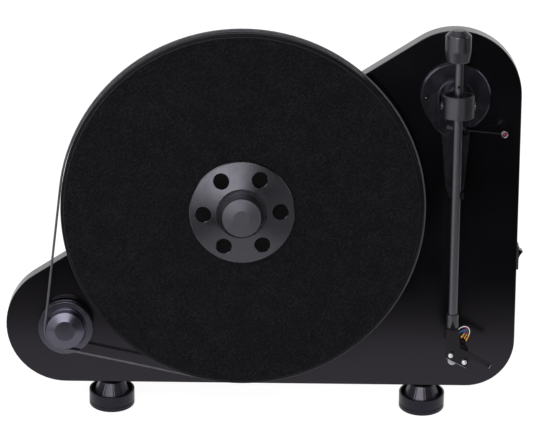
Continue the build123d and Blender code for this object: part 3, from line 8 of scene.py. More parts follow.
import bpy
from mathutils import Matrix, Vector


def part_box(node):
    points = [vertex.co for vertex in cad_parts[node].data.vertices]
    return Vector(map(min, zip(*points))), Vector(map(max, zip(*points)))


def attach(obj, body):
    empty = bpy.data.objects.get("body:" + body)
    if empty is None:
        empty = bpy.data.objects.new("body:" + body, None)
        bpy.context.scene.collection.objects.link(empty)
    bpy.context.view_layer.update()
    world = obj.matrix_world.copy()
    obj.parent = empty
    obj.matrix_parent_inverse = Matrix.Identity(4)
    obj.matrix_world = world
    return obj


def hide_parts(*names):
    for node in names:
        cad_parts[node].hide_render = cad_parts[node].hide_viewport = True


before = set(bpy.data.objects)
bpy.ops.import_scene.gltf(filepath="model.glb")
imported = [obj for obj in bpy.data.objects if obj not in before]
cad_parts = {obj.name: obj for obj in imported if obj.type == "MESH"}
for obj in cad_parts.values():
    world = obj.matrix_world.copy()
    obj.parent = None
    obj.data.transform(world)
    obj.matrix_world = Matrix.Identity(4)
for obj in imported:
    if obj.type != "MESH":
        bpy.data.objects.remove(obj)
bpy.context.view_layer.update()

# %% [markdown]
# ## Directions
# The board leans back by 9.3 degrees, so the world's X, Y and Z are awkward for it. Three
# directions of its own are easier: across it, up its face, and out of its face. Their
# zero is the point where the platter's axis meets the face. The platter is round, so the
# middle of its box lies on that axis, half way through its thickness.

# %% The board's own directions
import math
import random

import bmesh
import bpy
from mathutils import Matrix, Vector, noise

MM = 0.001
LEAN = math.radians(9.3)
ACROSS = Vector((1, 0, 0))
CLIMB = Vector((0, math.sin(LEAN), math.cos(LEAN)))
OUT = Vector((0, -math.cos(LEAN), math.sin(LEAN)))
PLATTER_MIDDLE = 14.75

low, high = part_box("platter")
HOME = (low + high) / 2 - OUT * PLATTER_MIDDLE * MM


def spot(u, v, n):
    """The world point at u across, v up and n out of the board, in millimetres."""
    return HOME + (ACROSS * u + CLIMB * v + OUT * n) * MM


print("platter axis meets the board at", [round(x, 5) for x in HOME])

# %% [markdown]
# ## Camera
# The photograph was taken from almost three metres away with a long lens, 25 degrees
# above the floor. The place and the directions below come from fitting a camera to
# corners and circles that could be measured in it, such as the six holes of the clamp.

# %% Camera
EYE = (18.425, 786.115, 2809.426)
RIGHT = Vector((0.99993261, 0.00338322, 0.01110537))
DOWN = Vector((0.0114923, -0.42392618, -0.90562383))
FORWARD = Vector((0.00164393, 0.90569043, -0.42393649))
LENS = 233.854
SENSOR = 36

camera = bpy.data.objects.new("camera", bpy.data.cameras.new("camera"))
bpy.context.scene.collection.objects.link(camera)
camera.data.sensor_width = SENSOR
camera.data.lens = LENS
camera.data.clip_start = 0.05
camera.data.clip_end = 60
turn_to_view = Matrix((RIGHT, -DOWN, -FORWARD)).transposed()
camera.matrix_world = Matrix.Translation(spot(*EYE)) @ turn_to_view.to_4x4()
bpy.context.scene.camera = camera
bpy.context.scene.view_settings.view_transform = "Standard"
print("camera at", [round(x, 3) for x in camera.matrix_world.translation])

# %% [markdown]
# ## Colours and nodes
# Colours are written as on a web page, in sRGB, and the shader wants linear light, so one
# function turns them round. A second one adds a node to a material and joins it up.

# %% Two helpers for materials
def linear(colour):
    """An sRGB hex colour as linear red, green, blue and alpha."""
    channels = [int(colour[i:i + 2], 16) / 255 for i in (1, 3, 5)]
    return (*[c / 12.92 if c < 0.04045 else ((c + 0.055) / 1.055) ** 2.4 for c in channels], 1)


def add(tree, kind, settings, links):
    """Add one node: settings are its properties or sockets, links are sockets to join."""
    node = tree.nodes.new("ShaderNode" + kind)
    for key, value in settings.items():
        if isinstance(key, str) and hasattr(node, key):
            setattr(node, key, value)
        else:
            node.inputs[key].default_value = value
    for key, source in links.items():
        tree.links.new(source, node.inputs[key])
    return node


print("mid grey in linear light:", [round(x, 3) for x in linear("#808080")])

# %% [markdown]
# ## Floor
# The object stands on a white table that fades into the white behind it, and keeps a soft
# shadow. A small share of the floor's light is its real, lit colour, where the shadow
# falls. The rest is a glow for the camera and for reflections, which makes it white without
# any more light on the object. Reflections see a weaker glow, as the real floor is less
# bright than the clipped white of a photograph. The table ends a little way in front and
# to the right, and past it the room is dark: the upper part of the black board mirrors that.

# %% White table
FLOOR_GLOW = 0.93
MIRRORED_GLOW = 0.66
FLOOR_SHARE = 0.22
TABLE_HALF = 2.5
TABLE_FRONT = 0.54
TABLE_RIGHT = 0.75
table_material = bpy.data.materials.new("white table")
table_material.use_nodes = True
tree = table_material.node_tree
tree.nodes.clear()
ray = add(tree, "LightPath", {}, {})
seen = add(tree, "Math", {"operation": "MAXIMUM"},
           {0: ray.outputs["Is Camera Ray"], 1: ray.outputs["Is Glossy Ray"]})
seen = add(tree, "Math", {"operation": "MAXIMUM"},
           {0: seen.outputs[0], 1: ray.outputs["Is Transmission Ray"]})
lit = add(tree, "BsdfDiffuse", {"Color": linear("#e6e6e6")}, {})
dim = add(tree, "BsdfDiffuse", {"Color": (FLOOR_SHARE, FLOOR_SHARE, FLOOR_SHARE, 1)}, {})
level = add(tree, "MapRange", {"To Min": MIRRORED_GLOW, "To Max": FLOOR_GLOW},
            {"Value": ray.outputs["Is Camera Ray"]})
glow = add(tree, "Emission", {"Color": (1, 1, 1, 1)}, {"Strength": level.outputs[0]})
both = add(tree, "AddShader", {}, {0: dim.outputs[0], 1: glow.outputs[0]})
mixed = add(tree, "MixShader", {}, {0: seen.outputs[0], 1: lit.outputs[0], 2: both.outputs[0]})
add(tree, "OutputMaterial", {}, {"Surface": mixed.outputs[0]})

table = bmesh.new()
bmesh.ops.create_grid(table, x_segments=1, y_segments=1, size=TABLE_HALF)
bmesh.ops.translate(table, verts=table.verts, vec=(TABLE_RIGHT - TABLE_HALF, TABLE_HALF - TABLE_FRONT, 0))
table_mesh = bpy.data.meshes.new("table")
table.to_mesh(table_mesh)
table.free()
table_mesh.materials.append(table_material)
floor = bpy.data.objects.new("table", table_mesh)
bpy.context.scene.collection.objects.link(floor)
print("table from", [round(v.co.y, 2) for v in table_mesh.vertices][0], "m in front")

# %% [markdown]
# ## Surroundings
# To the camera the surroundings are plain white. Reflections see the same white on the
# far side, behind the object, and it is what makes the board's top edge pale grey. On the
# near side they see the dark room that the photographer stood in. Everything else gets a
# little even light from all round.

# %% World
EVEN_LIGHT = 0.3
FAR_WHITE = 0.98
world = bpy.data.worlds.new("studio")
bpy.context.scene.world = world
world.use_nodes = True
tree = world.node_tree
tree.nodes.clear()
ray = add(tree, "LightPath", {}, {})
direction = add(tree, "TexCoord", {}, {})
parts = add(tree, "SeparateXYZ", {}, {0: direction.outputs["Generated"]})
# The white begins a third of the way to straight behind, and is full near there
far_side = add(tree, "MapRange", {"From Min": 0.3, "From Max": 0.85, "To Min": 0.0, "To Max": FAR_WHITE},
               {"Value": parts.outputs["Y"]})
mirrored = add(tree, "Math", {"operation": "MAXIMUM"},
               {0: ray.outputs["Is Glossy Ray"], 1: ray.outputs["Is Transmission Ray"]})
around = add(tree, "Background", {"Color": (1, 1, 1, 1), "Strength": EVEN_LIGHT}, {})
mirror = add(tree, "Background", {"Color": (1, 1, 1, 1)}, {"Strength": far_side.outputs[0]})
white = add(tree, "Background", {"Color": (1, 1, 1, 1), "Strength": 1.0}, {})
inner = add(tree, "MixShader", {}, {0: mirrored.outputs[0], 1: around.outputs[0], 2: mirror.outputs[0]})
outer = add(tree, "MixShader", {},
            {0: ray.outputs["Is Camera Ray"], 1: inner.outputs[0], 2: white.outputs[0]})
add(tree, "OutputWorld", {}, {"Surface": outer.outputs[0]})
print("the world has", len(tree.nodes), "nodes")

# %% [markdown]
# ## Lamps
# Eight soft panels light the object. Their places were read from the highlights: the
# clamp is a shallow cone, so each side of it mirrors another part of the studio. It is
# bright at the upper left and dark at the right, which puts the main panel in front, to
# the left of the camera. The cones in the feet mirror a higher place in front, and the
# bevel round the arm's base mirrors the left. A narrow panel at the right draws the thin
# lines of light on the right edges, and a weak one in front fills the shade beside it.

# %% Lamps
def turned_to(direction):
    """A turn that takes the Z axis to a direction."""
    return direction.to_track_quat("Z", "Y").to_matrix().to_4x4()


def panel(name, azimuth, elevation, distance, width, height, level):
    """A soft panel of an even level of light, turned to the middle of the board."""
    light = bpy.data.lights.new(name, "AREA")
    light.shape = "RECTANGLE"
    light.size = width
    light.size_y = height
    light.energy = level * math.pi * width * height
    lamp = bpy.data.objects.new(name, light)
    bpy.context.scene.collection.objects.link(lamp)
    side, up = math.radians(azimuth), math.radians(elevation)
    back = Vector((math.sin(side) * math.cos(up), -math.cos(side) * math.cos(up), math.sin(up)))
    lamp.matrix_world = Matrix.Translation(HOME + back * distance) @ turned_to(back)
    lamp.visible_camera = False
    print(name, "panel at", [round(x, 2) for x in lamp.location])


# Name, azimuth and elevation in degrees, distance, width and height in metres, level
panel("key", -11, 24, 1.9, 0.82, 1.4, 3.3)
panel("left_low", -26, 1, 1.8, 0.5, 0.45, 1.0)
panel("left_front", -50, 6, 1.7, 1.0, 1.3, 1.0)
panel("front_top", 0, 42, 2.1, 0.9, 0.6, 4.0)
panel("left_side", -78, 44, 1.6, 0.7, 1.1, 2.4)
panel("right_side", 85, 20, 1.7, 0.34, 1.3, 1.9)
panel("right_front", 31, 3, 1.8, 0.8, 1.2, 0.5)
panel("overhead", 180, 78, 1.9, 1.2, 0.9, 0.8)

# %% [markdown]
# ## Patterns in millimetres
# The finishes carry fine patterns, such as the grain of a moulded surface. Object
# coordinates are in metres, so they are first multiplied by a thousand. Each pattern then
# has the size that it has on the real surface, in millimetres.

# %% Grain
def grain(tree, size, detail=2.0, stretch=(1, 1, 1), rotation=(0, 0, 0)):
    """A noise whose spots are about size millimetres across, as a value from 0 to 1."""
    place = add(tree, "TexCoord", {}, {})
    scale = [1 / (MM * size * s) for s in stretch]
    sized = add(tree, "Mapping", {"Rotation": rotation}, {"Vector": place.outputs["Object"]})
    sized = add(tree, "Mapping", {"Scale": scale}, {"Vector": sized.outputs[0]})
    return add(tree, "TexNoise", {"Scale": 1.0, "Detail": detail, "Roughness": 0.55},
               {"Vector": sized.outputs[0]}).outputs["Fac"]


def finish(name, colour, roughness, metallic=0.0, **sockets):
    """A material named for what the real surface is, with its plain values set."""
    material = bpy.data.materials.new(name)
    material.use_nodes = True
    shader = material.node_tree.nodes["Principled BSDF"]
    shader.inputs["Base Color"].default_value = linear(colour)
    shader.inputs["Roughness"].default_value = roughness
    shader.inputs["Metallic"].default_value = metallic
    for socket, value in sockets.items():
        shader.inputs[socket.replace("_", " ")].default_value = value
    return material, material.node_tree, shader


def vary(tree, value, lowest, highest):
    """A value from 0 to 1 spread between two limits."""
    return add(tree, "MapRange", {"From Min": 0.3, "From Max": 0.7, "To Min": lowest, "To Max": highest},
               {"Value": value}).outputs[0]


def blend(tree, value, first, second):
    """A colour between two, as a value goes from its low to its high spots."""
    return add(tree, "Mix", {"data_type": "RGBA", 6: linear(first), 7: linear(second)},
               {0: vary(tree, value, 0, 1)}).outputs[2]


def dent(tree, shader, value, depth):
    """Let a pattern raise and sink the surface by a depth in millimetres."""
    bump = add(tree, "Bump", {"Strength": 1.0, "Distance": depth * MM}, {"Height": value})
    tree.links.new(bump.outputs[0], shader.inputs["Normal"])


# %% [markdown]
# ## Black lacquer
# The board is a fibreboard panel, sprayed with several coats of satin black lacquer. Its
# gloss is faintly violet. The spray leaves an orange peel about a millimetre and a half
# across, and the gloss changes a little from one place to the next.

# %% Satin lacquer
lacquer, tree, shader = finish("satin black lacquer", "#040304", 0.18, IOR=1.52,
                               Specular_Tint=linear("#f6eeff"))
tree.links.new(vary(tree, grain(tree, 45), 0.165, 0.2), shader.inputs["Roughness"])
dent(tree, shader, grain(tree, 1.6), 0.003)
print(lacquer.name, "has", len(tree.nodes), "nodes")

# %% [markdown]
# ## Anodised aluminium
# The clamp, the pulley and the arm's fittings are turned from aluminium, blasted with fine
# beads and anodised in anthracite. The oxide takes most of the light away and leaves a
# slightly blue metal with a soft highlight. The grit is 0.3 mm, drawn coarser than real.
# A lathe leaves rings too, so turned parts get them about their own axis.

# %% Anodised finishes
def anodised(name, colour, roughness, centre=None, axis=None, pitch=0.5):
    """Anodised aluminium, with lathe rings about an axis where one is given."""
    material, tree, shader = finish(name, colour, roughness, metallic=1.0)
    grit = grain(tree, 0.3)
    tree.links.new(vary(tree, grain(tree, 9), roughness - 0.03, roughness + 0.03),
                   shader.inputs["Roughness"])
    height = grit
    if centre is not None:
        place = add(tree, "TexCoord", {}, {})
        facing = axis.to_track_quat("Z", "Y").to_euler()
        polar = add(tree, "Mapping", {"vector_type": "TEXTURE", "Location": centre, "Rotation": facing,
                                      "Scale": (MM, MM, MM)}, {"Vector": place.outputs["Object"]})
        # A wave repeats every 0.314 of its own units
        rings = add(tree, "TexWave", {"wave_type": "RINGS", "rings_direction": "Z", "Scale": 0.314 / pitch,
                                      "Distortion": 0.6, "Detail": 1.0}, {"Vector": polar.outputs[0]})
        height = add(tree, "Math", {"operation": "MULTIPLY_ADD", 1: 0.5},
                     {0: rings.outputs["Fac"], 2: grit}).outputs[0]
    dent(tree, shader, height, 0.002)
    return material


anthracite = anodised("anthracite anodised aluminium", "#4e4d53", 0.33)
fittings = anodised("anodised arm fittings", "#5a595f", 0.38)
clamp_finish = anodised("turned anodised clamp", "#525157", 0.26, HOME, OUT)
knob_finish = anodised("bead blasted clamp knob", "#5e5d64", 0.42, HOME, OUT)
PULLEY_PLACE = (-146.7, -106.9)
pulley_finish = anodised("turned anodised pulley", "#605f6b", 0.2, spot(*PULLEY_PLACE, 0), OUT)
base_finish = anodised("blue black anodised base", "#47464f", 0.25)
print(clamp_finish.name, "has", len(clamp_finish.node_tree.nodes), "nodes")

# %% [markdown]
# ## Arm tube
# The tube is drawn, not turned: it is pulled through a ring, which leaves faint lines
# along it. The noise is stretched sixty times along the tube to draw them.

# %% Drawn tube
tube, tree, shader = finish("drawn anodised tube", "#636268", 0.36, metallic=1.0)
lines = grain(tree, 0.5, stretch=(1, 1, 60), rotation=(LEAN, 0, 0))
tree.links.new(vary(tree, lines, 0.33, 0.4), shader.inputs["Roughness"])
dent(tree, shader, lines, 0.0008)
print(tube.name, "has", len(tree.nodes), "nodes")

# %% [markdown]
# ## Felt
# The mat is pressed wool felt, dyed charcoal. Wool fibres are 0.03 mm thick and lie in all
# directions, so the surface shows short light flecks. The colour follows the bump, and the
# hollows between the flecks are darker: that darkening is painted shade, on top of the wool's
# own uneven tone.
# A noise stretched two ways, once along and once across, draws them a millimetre wide. A
# little sheen gives the soft edge that fuzz has.

# %% Pressed wool
felt, tree, shader = finish("pressed wool felt", "#1d1b20", 0.95, Sheen_Weight=0.07, Sheen_Roughness=0.6,
                            Specular_IOR_Level=0.1)
one_way = grain(tree, 0.8, stretch=(3, 1, 1), rotation=(0, 0.6, 0))
other_way = grain(tree, 0.8, stretch=(1, 3, 3), rotation=(0.3, -0.5, 0))
flecks = add(tree, "Math", {"operation": "MAXIMUM"}, {0: one_way, 1: other_way}).outputs[0]
clouds = grain(tree, 14, detail=4)
tangle = add(tree, "Math", {"operation": "MULTIPLY_ADD", 1: 0.2}, {0: clouds, 2: flecks}).outputs[0]
lighter = add(tree, "MapRange", {"From Min": 0.61, "From Max": 0.8}, {"Value": tangle}).outputs[0]
# Dark where the bump sinks: painted shade in the hollows, with the wool's uneven tone
wool = add(tree, "Mix", {"data_type": "RGBA", 6: linear("#020204"), 7: linear("#19171e")}, {0: lighter})
tree.links.new(wool.outputs[2], shader.inputs["Base Color"])
dent(tree, shader, tangle, 0.16)

fibre, tree, shader = finish("loose wool fibres", "#29262b", 0.8, Specular_IOR_Level=0.2)
tree.links.new(blend(tree, grain(tree, 6), "#18161a", "#3d3a40"), shader.inputs["Base Color"])
print(felt.name, "has", len(felt.node_tree.nodes), "nodes")

# %% [markdown]
# ## Metals as they come
# Screws are steel with a thin nickel coat, bright and a little smeared. The black screws
# are the same steel with an oxide coat. Bushes are pressed from bronze powder, so they
# are full of tiny pores. The sockets and the four clips on the cartridge are gilded.

# %% Steel, bronze and gilding
def plain_metal(name, first, second, roughness, spot_size, depth):
    """A bare metal whose colour wanders between two values."""
    material, tree, shader = finish(name, first, roughness, metallic=1.0)
    smear = grain(tree, spot_size)
    tree.links.new(blend(tree, smear, first, second), shader.inputs["Base Color"])
    tree.links.new(vary(tree, smear, roughness - 0.04, roughness + 0.05), shader.inputs["Roughness"])
    dent(tree, shader, grain(tree, spot_size / 8), depth)
    return material


nickel = plain_metal("nickel plated steel", "#c4c3c4", "#b0afb1", 0.2, 2.5, 0.001)
satin_nickel = plain_metal("satin nickel plated steel", "#f1f1f2", "#e2e2e4", 0.5, 1.5, 0.001)
# Bright metal for two thin bars on the headshell: painted highlights on its edges
edge_highlight_metal = plain_metal("bright metal for edge highlights", "#a4a4a8", "#949499", 0.3, 1.0, 0.001)
oxide = plain_metal("black oxide steel", "#2a292c", "#1d1d20", 0.24, 2.0, 0.001)
ground = plain_metal("ground steel", "#a9a8ab", "#8f8e92", 0.25, 3.0, 0.001)
dull_steel = plain_metal("dull blackened steel", "#39383c", "#2f2e32", 0.3, 3.0, 0.001)
bronze = plain_metal("sintered bronze", "#8f6c41", "#6f5230", 0.42, 0.6, 0.02)
gilding = plain_metal("gilded brass", "#e2b062", "#cd9645", 0.2, 1.5, 0.001)
zinc = plain_metal("zinc plated steel", "#9d9fa3", "#85888d", 0.36, 4.0, 0.002)
print(nickel.name, "has", len(nickel.node_tree.nodes), "nodes")

# %% [markdown]
# ## Plastics, rubber and paint
# Covers are moulded in ABS against a spark eroded tool, which leaves a fine matt grain of
# about 0.4 mm. The cones in the feet and the rocker are moulded against a polished tool.
# The belt and the grommets are rubber, dusty and dull. The outrigger is powder coated:
# the powder melts into low bumps two millimetres across. Where the gloss of a black is
# faintly violet, as on the feet and the platter, its specular tint is.

# %% Dielectric finishes
def moulded(name, first, second, roughness, size, depth, **sockets):
    """A moulded or sprayed surface: two close colours and a grain of its own size."""
    material, tree, shader = finish(name, first, roughness, **sockets)
    tree.links.new(blend(tree, grain(tree, size * 20), first, second), shader.inputs["Base Color"])
    tree.links.new(vary(tree, grain(tree, size * 4), roughness - 0.03, roughness + 0.04),
                   shader.inputs["Roughness"])
    dent(tree, shader, grain(tree, size), depth)
    return material


abs_grain = moulded("spark eroded ABS", "#131315", "#18181a", 0.5, 0.45, 0.012, IOR=1.53)
clip_black = moulded("black acetal", "#050506", "#08080a", 0.5, 0.5, 0.004, Specular_IOR_Level=0.15)
abs_gloss = moulded("polished ABS", "#070708", "#0b0b0c", 0.12, 0.8, 0.0006, IOR=1.53)
cup_black = moulded("satin black foot cup", "#0e0c13", "#14121b", 0.3, 0.35, 0.003,
                    Specular_IOR_Level=0.4, Specular_Tint=linear("#e8e2f8"))
cone_black = moulded("satin black glass filled nylon", "#15141b", "#1b1a22", 0.3, 0.8, 0.0006,
                     Specular_IOR_Level=1.0, Specular_Tint=linear("#eee8f8"))
rubber = moulded("rubber", "#2b2b2e", "#36363a", 0.55, 0.3, 0.004, IOR=1.52)
# Almost no gloss, so that the clamp's holes look as dark as their shade: painted shade
hole_shade_rubber = moulded("black rubber with painted hole shade", "#050506", "#0c0c0d", 0.8, 1.2, 0.05,
                     Specular_IOR_Level=0.08)
belt_rubber = moulded("ground rubber belt", "#45444b", "#54535a", 0.5, 0.3, 0.004, IOR=1.52)
sheath = moulded("PVC cable sheath", "#101011", "#17171a", 0.38, 0.6, 0.003, IOR=1.54)
powder = moulded("powder coated steel", "#101012", "#151517", 0.42, 2.0, 0.02, IOR=1.5)
platter_paint = moulded("satin black platter paint", "#0a090c", "#0e0d11", 0.36, 1.4, 0.004,
                        Specular_IOR_Level=0.2, Specular_Tint=linear("#eee8f8"))
mask_green = moulded("solder mask", "#12482c", "#1a5636", 0.3, 1.0, 0.01, IOR=1.55)
nose_grey = moulded("light grey polypropylene", "#b9b9c0", "#a4a4ac", 0.3, 0.5, 0.002, IOR=1.49)
shell_black = moulded("satin black painted aluminium", "#121114", "#171619", 0.4, 0.4, 0.004,
                      Specular_IOR_Level=0.34, Specular_Tint=linear("#f2ecf8"))
button_red = moulded("dark red enamel", "#5a1c2c", "#6b2436", 0.3, 0.4, 0.002, IOR=1.5)
LEAD_COLOURS = {"white": "#dcdcdf", "red": "#b8283c", "blue": "#2850a8", "green": "#1f8a80"}
insulation = {name: moulded(name + " PVC insulation", colour, colour, 0.42, 0.3, 0.002, IOR=1.54)
              for name, colour in LEAD_COLOURS.items()}
print(len(bpy.data.materials), "materials so far, with the imported ones")

# %% [markdown]
# ## Giving the finishes out
# Most parts keep their CAD mesh and only change their finish. A part's material slots are
# pointed at the new material, so that its mesh isn't touched.

# %% Finishes of the CAD parts
FINISHES = [
    (lacquer, ["board"]),
    (anthracite, ["platter_hub", "arm_pillar", "swing_post", "bearing_housing", "bearing_end_cap"]),
    (fittings, ["gimbal_ring", "counterweight", "lift_platform", "pivot_screws"]),
    (clamp_finish, ["record_clamp"]),
    (knob_finish, ["clamp_knob"]),
    (pulley_finish, ["pulley"]),
    (base_finish, ["arm_base"]),
    (tube, ["arm_tube", "arm_hub"]),
    (shell_black, ["headshell"]),
    (platter_paint, ["platter"]),
    (felt, ["platter_mat"]),
    (nickel, ["cartridge_screws", "hub_screws", "lift_lever"]),
    (oxide, ["foot_studs", "cover_screws", "bearing_screws", "outrigger_screws"]),
    (ground, ["spindle", "thrust_ball", "motor_shaft"]),
    (zinc, ["motor", "motor_screws", "ground_stud"]),
    (bronze, ["spindle_bushes", "swing_bushes"]),
    (gilding, ["lead_clips", "phono_socket_left", "phono_socket_right", "ground_nut"]),
    (rubber, ["motor_grommets"]),
    (belt_rubber, ["drive_belt"]),
    (sheath, ["switch_cable", "signal_wires", "cartridge_leads"]),
    (abs_grain, ["motor_cover", "socket_cover", "switch_housing", "power_inlet"]),
    (clip_black, ["arm_clip", "arm_base_screws"]),
    (abs_gloss, ["power_rocker", "cartridge"]),
    (cone_black, ["foot_left_cone", "foot_right_cone", "foot_rear_cone"]),
    (cup_black, ["foot_left_cup", "foot_right_cup", "foot_rear_cup"]),
    (powder, ["outrigger"]),
    (mask_green, ["control_board"]),
    (nose_grey, ["stylus"]),
]
for material, names in FINISHES:
    for name in names:
        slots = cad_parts[name].data.materials
        slots.clear()
        slots.append(material)
given = sum(len(names) for _, names in FINISHES)
print(given, "of", len(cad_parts), "CAD parts have a finish")

# %% [markdown]
# ## Making new parts
# A turned part is made as on a lathe: its half section is drawn as a few points, and a
# spin carries them round the axis. Real edges are never quite sharp, so the sharp ones get
# a small bevel, which is what catches the light. Weighted normals keep the flat faces flat
# beside it. Every new part rides on the CAD body that it belongs to.

# %% Turned parts
SHARP = math.radians(7)
CREASE = math.radians(40)


def soften(mesh, radius, segments=3, within=None):
    """Round the sharp edges of a bmesh to a radius in millimetres."""
    sharp = [e for e in mesh.edges if len(e.link_faces) == 2 and e.calc_face_angle() > SHARP]
    if within:
        sharp = [e for e in sharp if within(e)]
    bmesh.ops.bevel(mesh, geom=sharp, offset=radius * MM, segments=segments, profile=0.5,
                    affect="EDGES", clamp_overlap=True, material=-1)


def piece(mesh, name, body, slot, material, *replaced):
    """Turn a finished bmesh into an object that rides on a body and stands for CAD nodes."""
    for face in mesh.faces:
        face.smooth = True
    for edge in mesh.edges:
        edge.smooth = len(edge.link_faces) == 2 and edge.calc_face_angle() < CREASE
    data = bpy.data.meshes.new(name)
    mesh.to_mesh(data)
    mesh.free()
    data.materials.append(material)
    made = bpy.data.objects.new(name, data)
    bpy.context.scene.collection.objects.link(made)
    made.modifiers.new("flat faces stay flat", "WEIGHTED_NORMAL").keep_sharp = True
    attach(made, body)
    if replaced:
        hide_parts(*replaced)
    print(name, "has", len(data.polygons), "faces")
    return made


def turned(centre, axis, section, steps=180, edge=0.2):
    """Spin a half section of (radius, height) pairs in millimetres about an axis."""
    mesh = bmesh.new()
    side = ACROSS if abs(axis.dot(ACROSS)) < 0.5 else CLIMB
    points = [mesh.verts.new(centre + (side * r + axis * h) * MM) for r, h in section]
    chain = points + points[:1] if section[0][0] > 0 else points
    for first, second in zip(chain, chain[1:]):
        mesh.edges.new((first, second))
    bmesh.ops.spin(mesh, geom=mesh.verts[:] + mesh.edges[:], cent=centre, axis=axis, dvec=(0, 0, 0),
                   angle=2 * math.pi, steps=steps, use_merge=True, use_duplicate=False)
    bmesh.ops.remove_doubles(mesh, verts=mesh.verts, dist=0.001 * MM)
    bmesh.ops.recalc_face_normals(mesh, faces=mesh.faces)
    if edge:
        soften(mesh, edge)
    return mesh


# %% [markdown]
# ## Platter
# The platter is a thick disc with a recess in its back for the hub. Its rim shows in the
# photograph as thin bright lines: the light caught by the rounded corners of the rim.

# %% Platter
disc = turned(HOME, OUT, [
    (6.05, 12.0), (35.05, 12.0), (35.05, 6.0), (149.1, 6.0), (150.0, 6.9), (150.0, 22.6), (149.1, 23.5),
    (6.05, 23.5),
], steps=256, edge=0.25)
piece(disc, "platter_disc", "turntable", "platter_body", platter_paint, "platter")

# %% [markdown]
# ## Felt mat
# Felt is never quite flat. The mat is spun with many rings, and a noise then sinks its top
# unevenly by a tenth of a millimetre. Its cut edge wanders a little as well.

# %% Mat
MAT_BACK = 23.5
MAT_TOP = 26.5
MAT_EDGE = 147.4
MAT_HOLE = 3.8
FLAT_EDGE = MAT_EDGE - 0.6
RINGS = 60
ring_step = (FLAT_EDGE - MAT_HOLE) / RINGS
top = [(FLAT_EDGE - i * ring_step, MAT_TOP) for i in range(RINGS + 1)]
mat = turned(HOME, OUT, [
    (MAT_HOLE, MAT_BACK), (MAT_EDGE, MAT_BACK), (MAT_EDGE, 25.3), (MAT_EDGE - 0.15, 26.1), *top,
], steps=240, edge=0)
# The noise varies over about 5 mm on the top and over 6 mm along the edge
for vertex in mat.verts:
    from_home = vertex.co - HOME
    height = from_home.dot(OUT) / MM
    outward = from_home - OUT * from_home.dot(OUT)
    if height > MAT_TOP - 0.2:
        vertex.co += OUT * MM * (0.07 * noise.noise(vertex.co * 190) - 0.05)
    elif outward.length > (MAT_EDGE - 5) * MM:
        vertex.co += outward.normalized() * MM * (0.12 * noise.noise(vertex.co * 160) - 0.08)
piece(mat, "felt_mat", "turntable", "felt", felt, "platter_mat")

# %% [markdown]
# ## Loose fibres
# Close up, felt is recognised by single fibres that stand off it. Each one is a short
# curve with a thickness, and both of its ends go into the mat. Wool would be 0.03 mm
# thick: at 0.11 mm the fibres just show.

# %% Fibres
draw = random.Random(33)
FIBRES = 2600
FIBRE_RADIUS = 0.055
INNERMOST = 6
OUTERMOST = 144
MOST_BEND = 0.9
SHORTEST = 0.9
LONGEST = 2.6
hairs = bpy.data.curves.new("felt_fibres", "CURVE")
hairs.dimensions = "3D"
hairs.bevel_depth = FIBRE_RADIUS * MM
hairs.bevel_resolution = 0
for _ in range(FIBRES):
    reach = INNERMOST + (OUTERMOST - INNERMOST) * math.sqrt(draw.random())
    angle = draw.uniform(0, 2 * math.pi)
    heading = draw.uniform(0, 2 * math.pi)
    bend = draw.uniform(-MOST_BEND, MOST_BEND)
    length = draw.uniform(SHORTEST, LONGEST)
    u, v = reach * math.cos(angle), reach * math.sin(angle)
    spline = hairs.splines.new("POLY")
    spline.points.add(3)
    # Both ends lie in the felt and the middle stands off it
    for point, rise in zip(spline.points, (-0.15, 0.05, 0.07, -0.15)):
        point.co = (*spot(u, v, MAT_TOP + rise), 1)
        u += length / 3 * math.cos(heading)
        v += length / 3 * math.sin(heading)
        heading += bend
hairs.materials.append(fibre)
felt_fibres = bpy.data.objects.new("felt_fibres", hairs)
bpy.context.scene.collection.objects.link(felt_fibres)
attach(felt_fibres, "turntable")
print(FIBRES, "fibres on the mat")

# %% [markdown]
# ## Record clamp
# The clamp is a shallow cone with a ring step, six holes and a knob. It is spun, and the
# holes are cut with a Boolean modifier, because a cut keeps the cone's shading exact. A
# second cut chamfers the rims of the holes, square to the cone's slope: a bevel of the cut
# edges would catch on the many short edges that the cut leaves. The edge of the disc has a
# chamfer too, and both catch the thin lines of light.

# %% Clamp disc
CLAMP_BACK = 26.8
CLAMP_SECTION = [
    (12.05, 1.6), (40.0, 1.6), (40.0, 0.0), (43.6, 0.0), (43.6, 0.9), (42.95, 1.55), (42.8, 1.6),
    (21.0, 5.48), (21.0, 4.4), (12.05, 4.4),
]
HOLE_CIRCLE = 32.0
HOLE_RADIUS = 6.3
FIRST_HOLE = 2.7
clamp = turned(spot(0, 0, CLAMP_BACK), OUT, CLAMP_SECTION, steps=240, edge=0)
print("the clamp's disc is spun from", len(CLAMP_SECTION), "points")

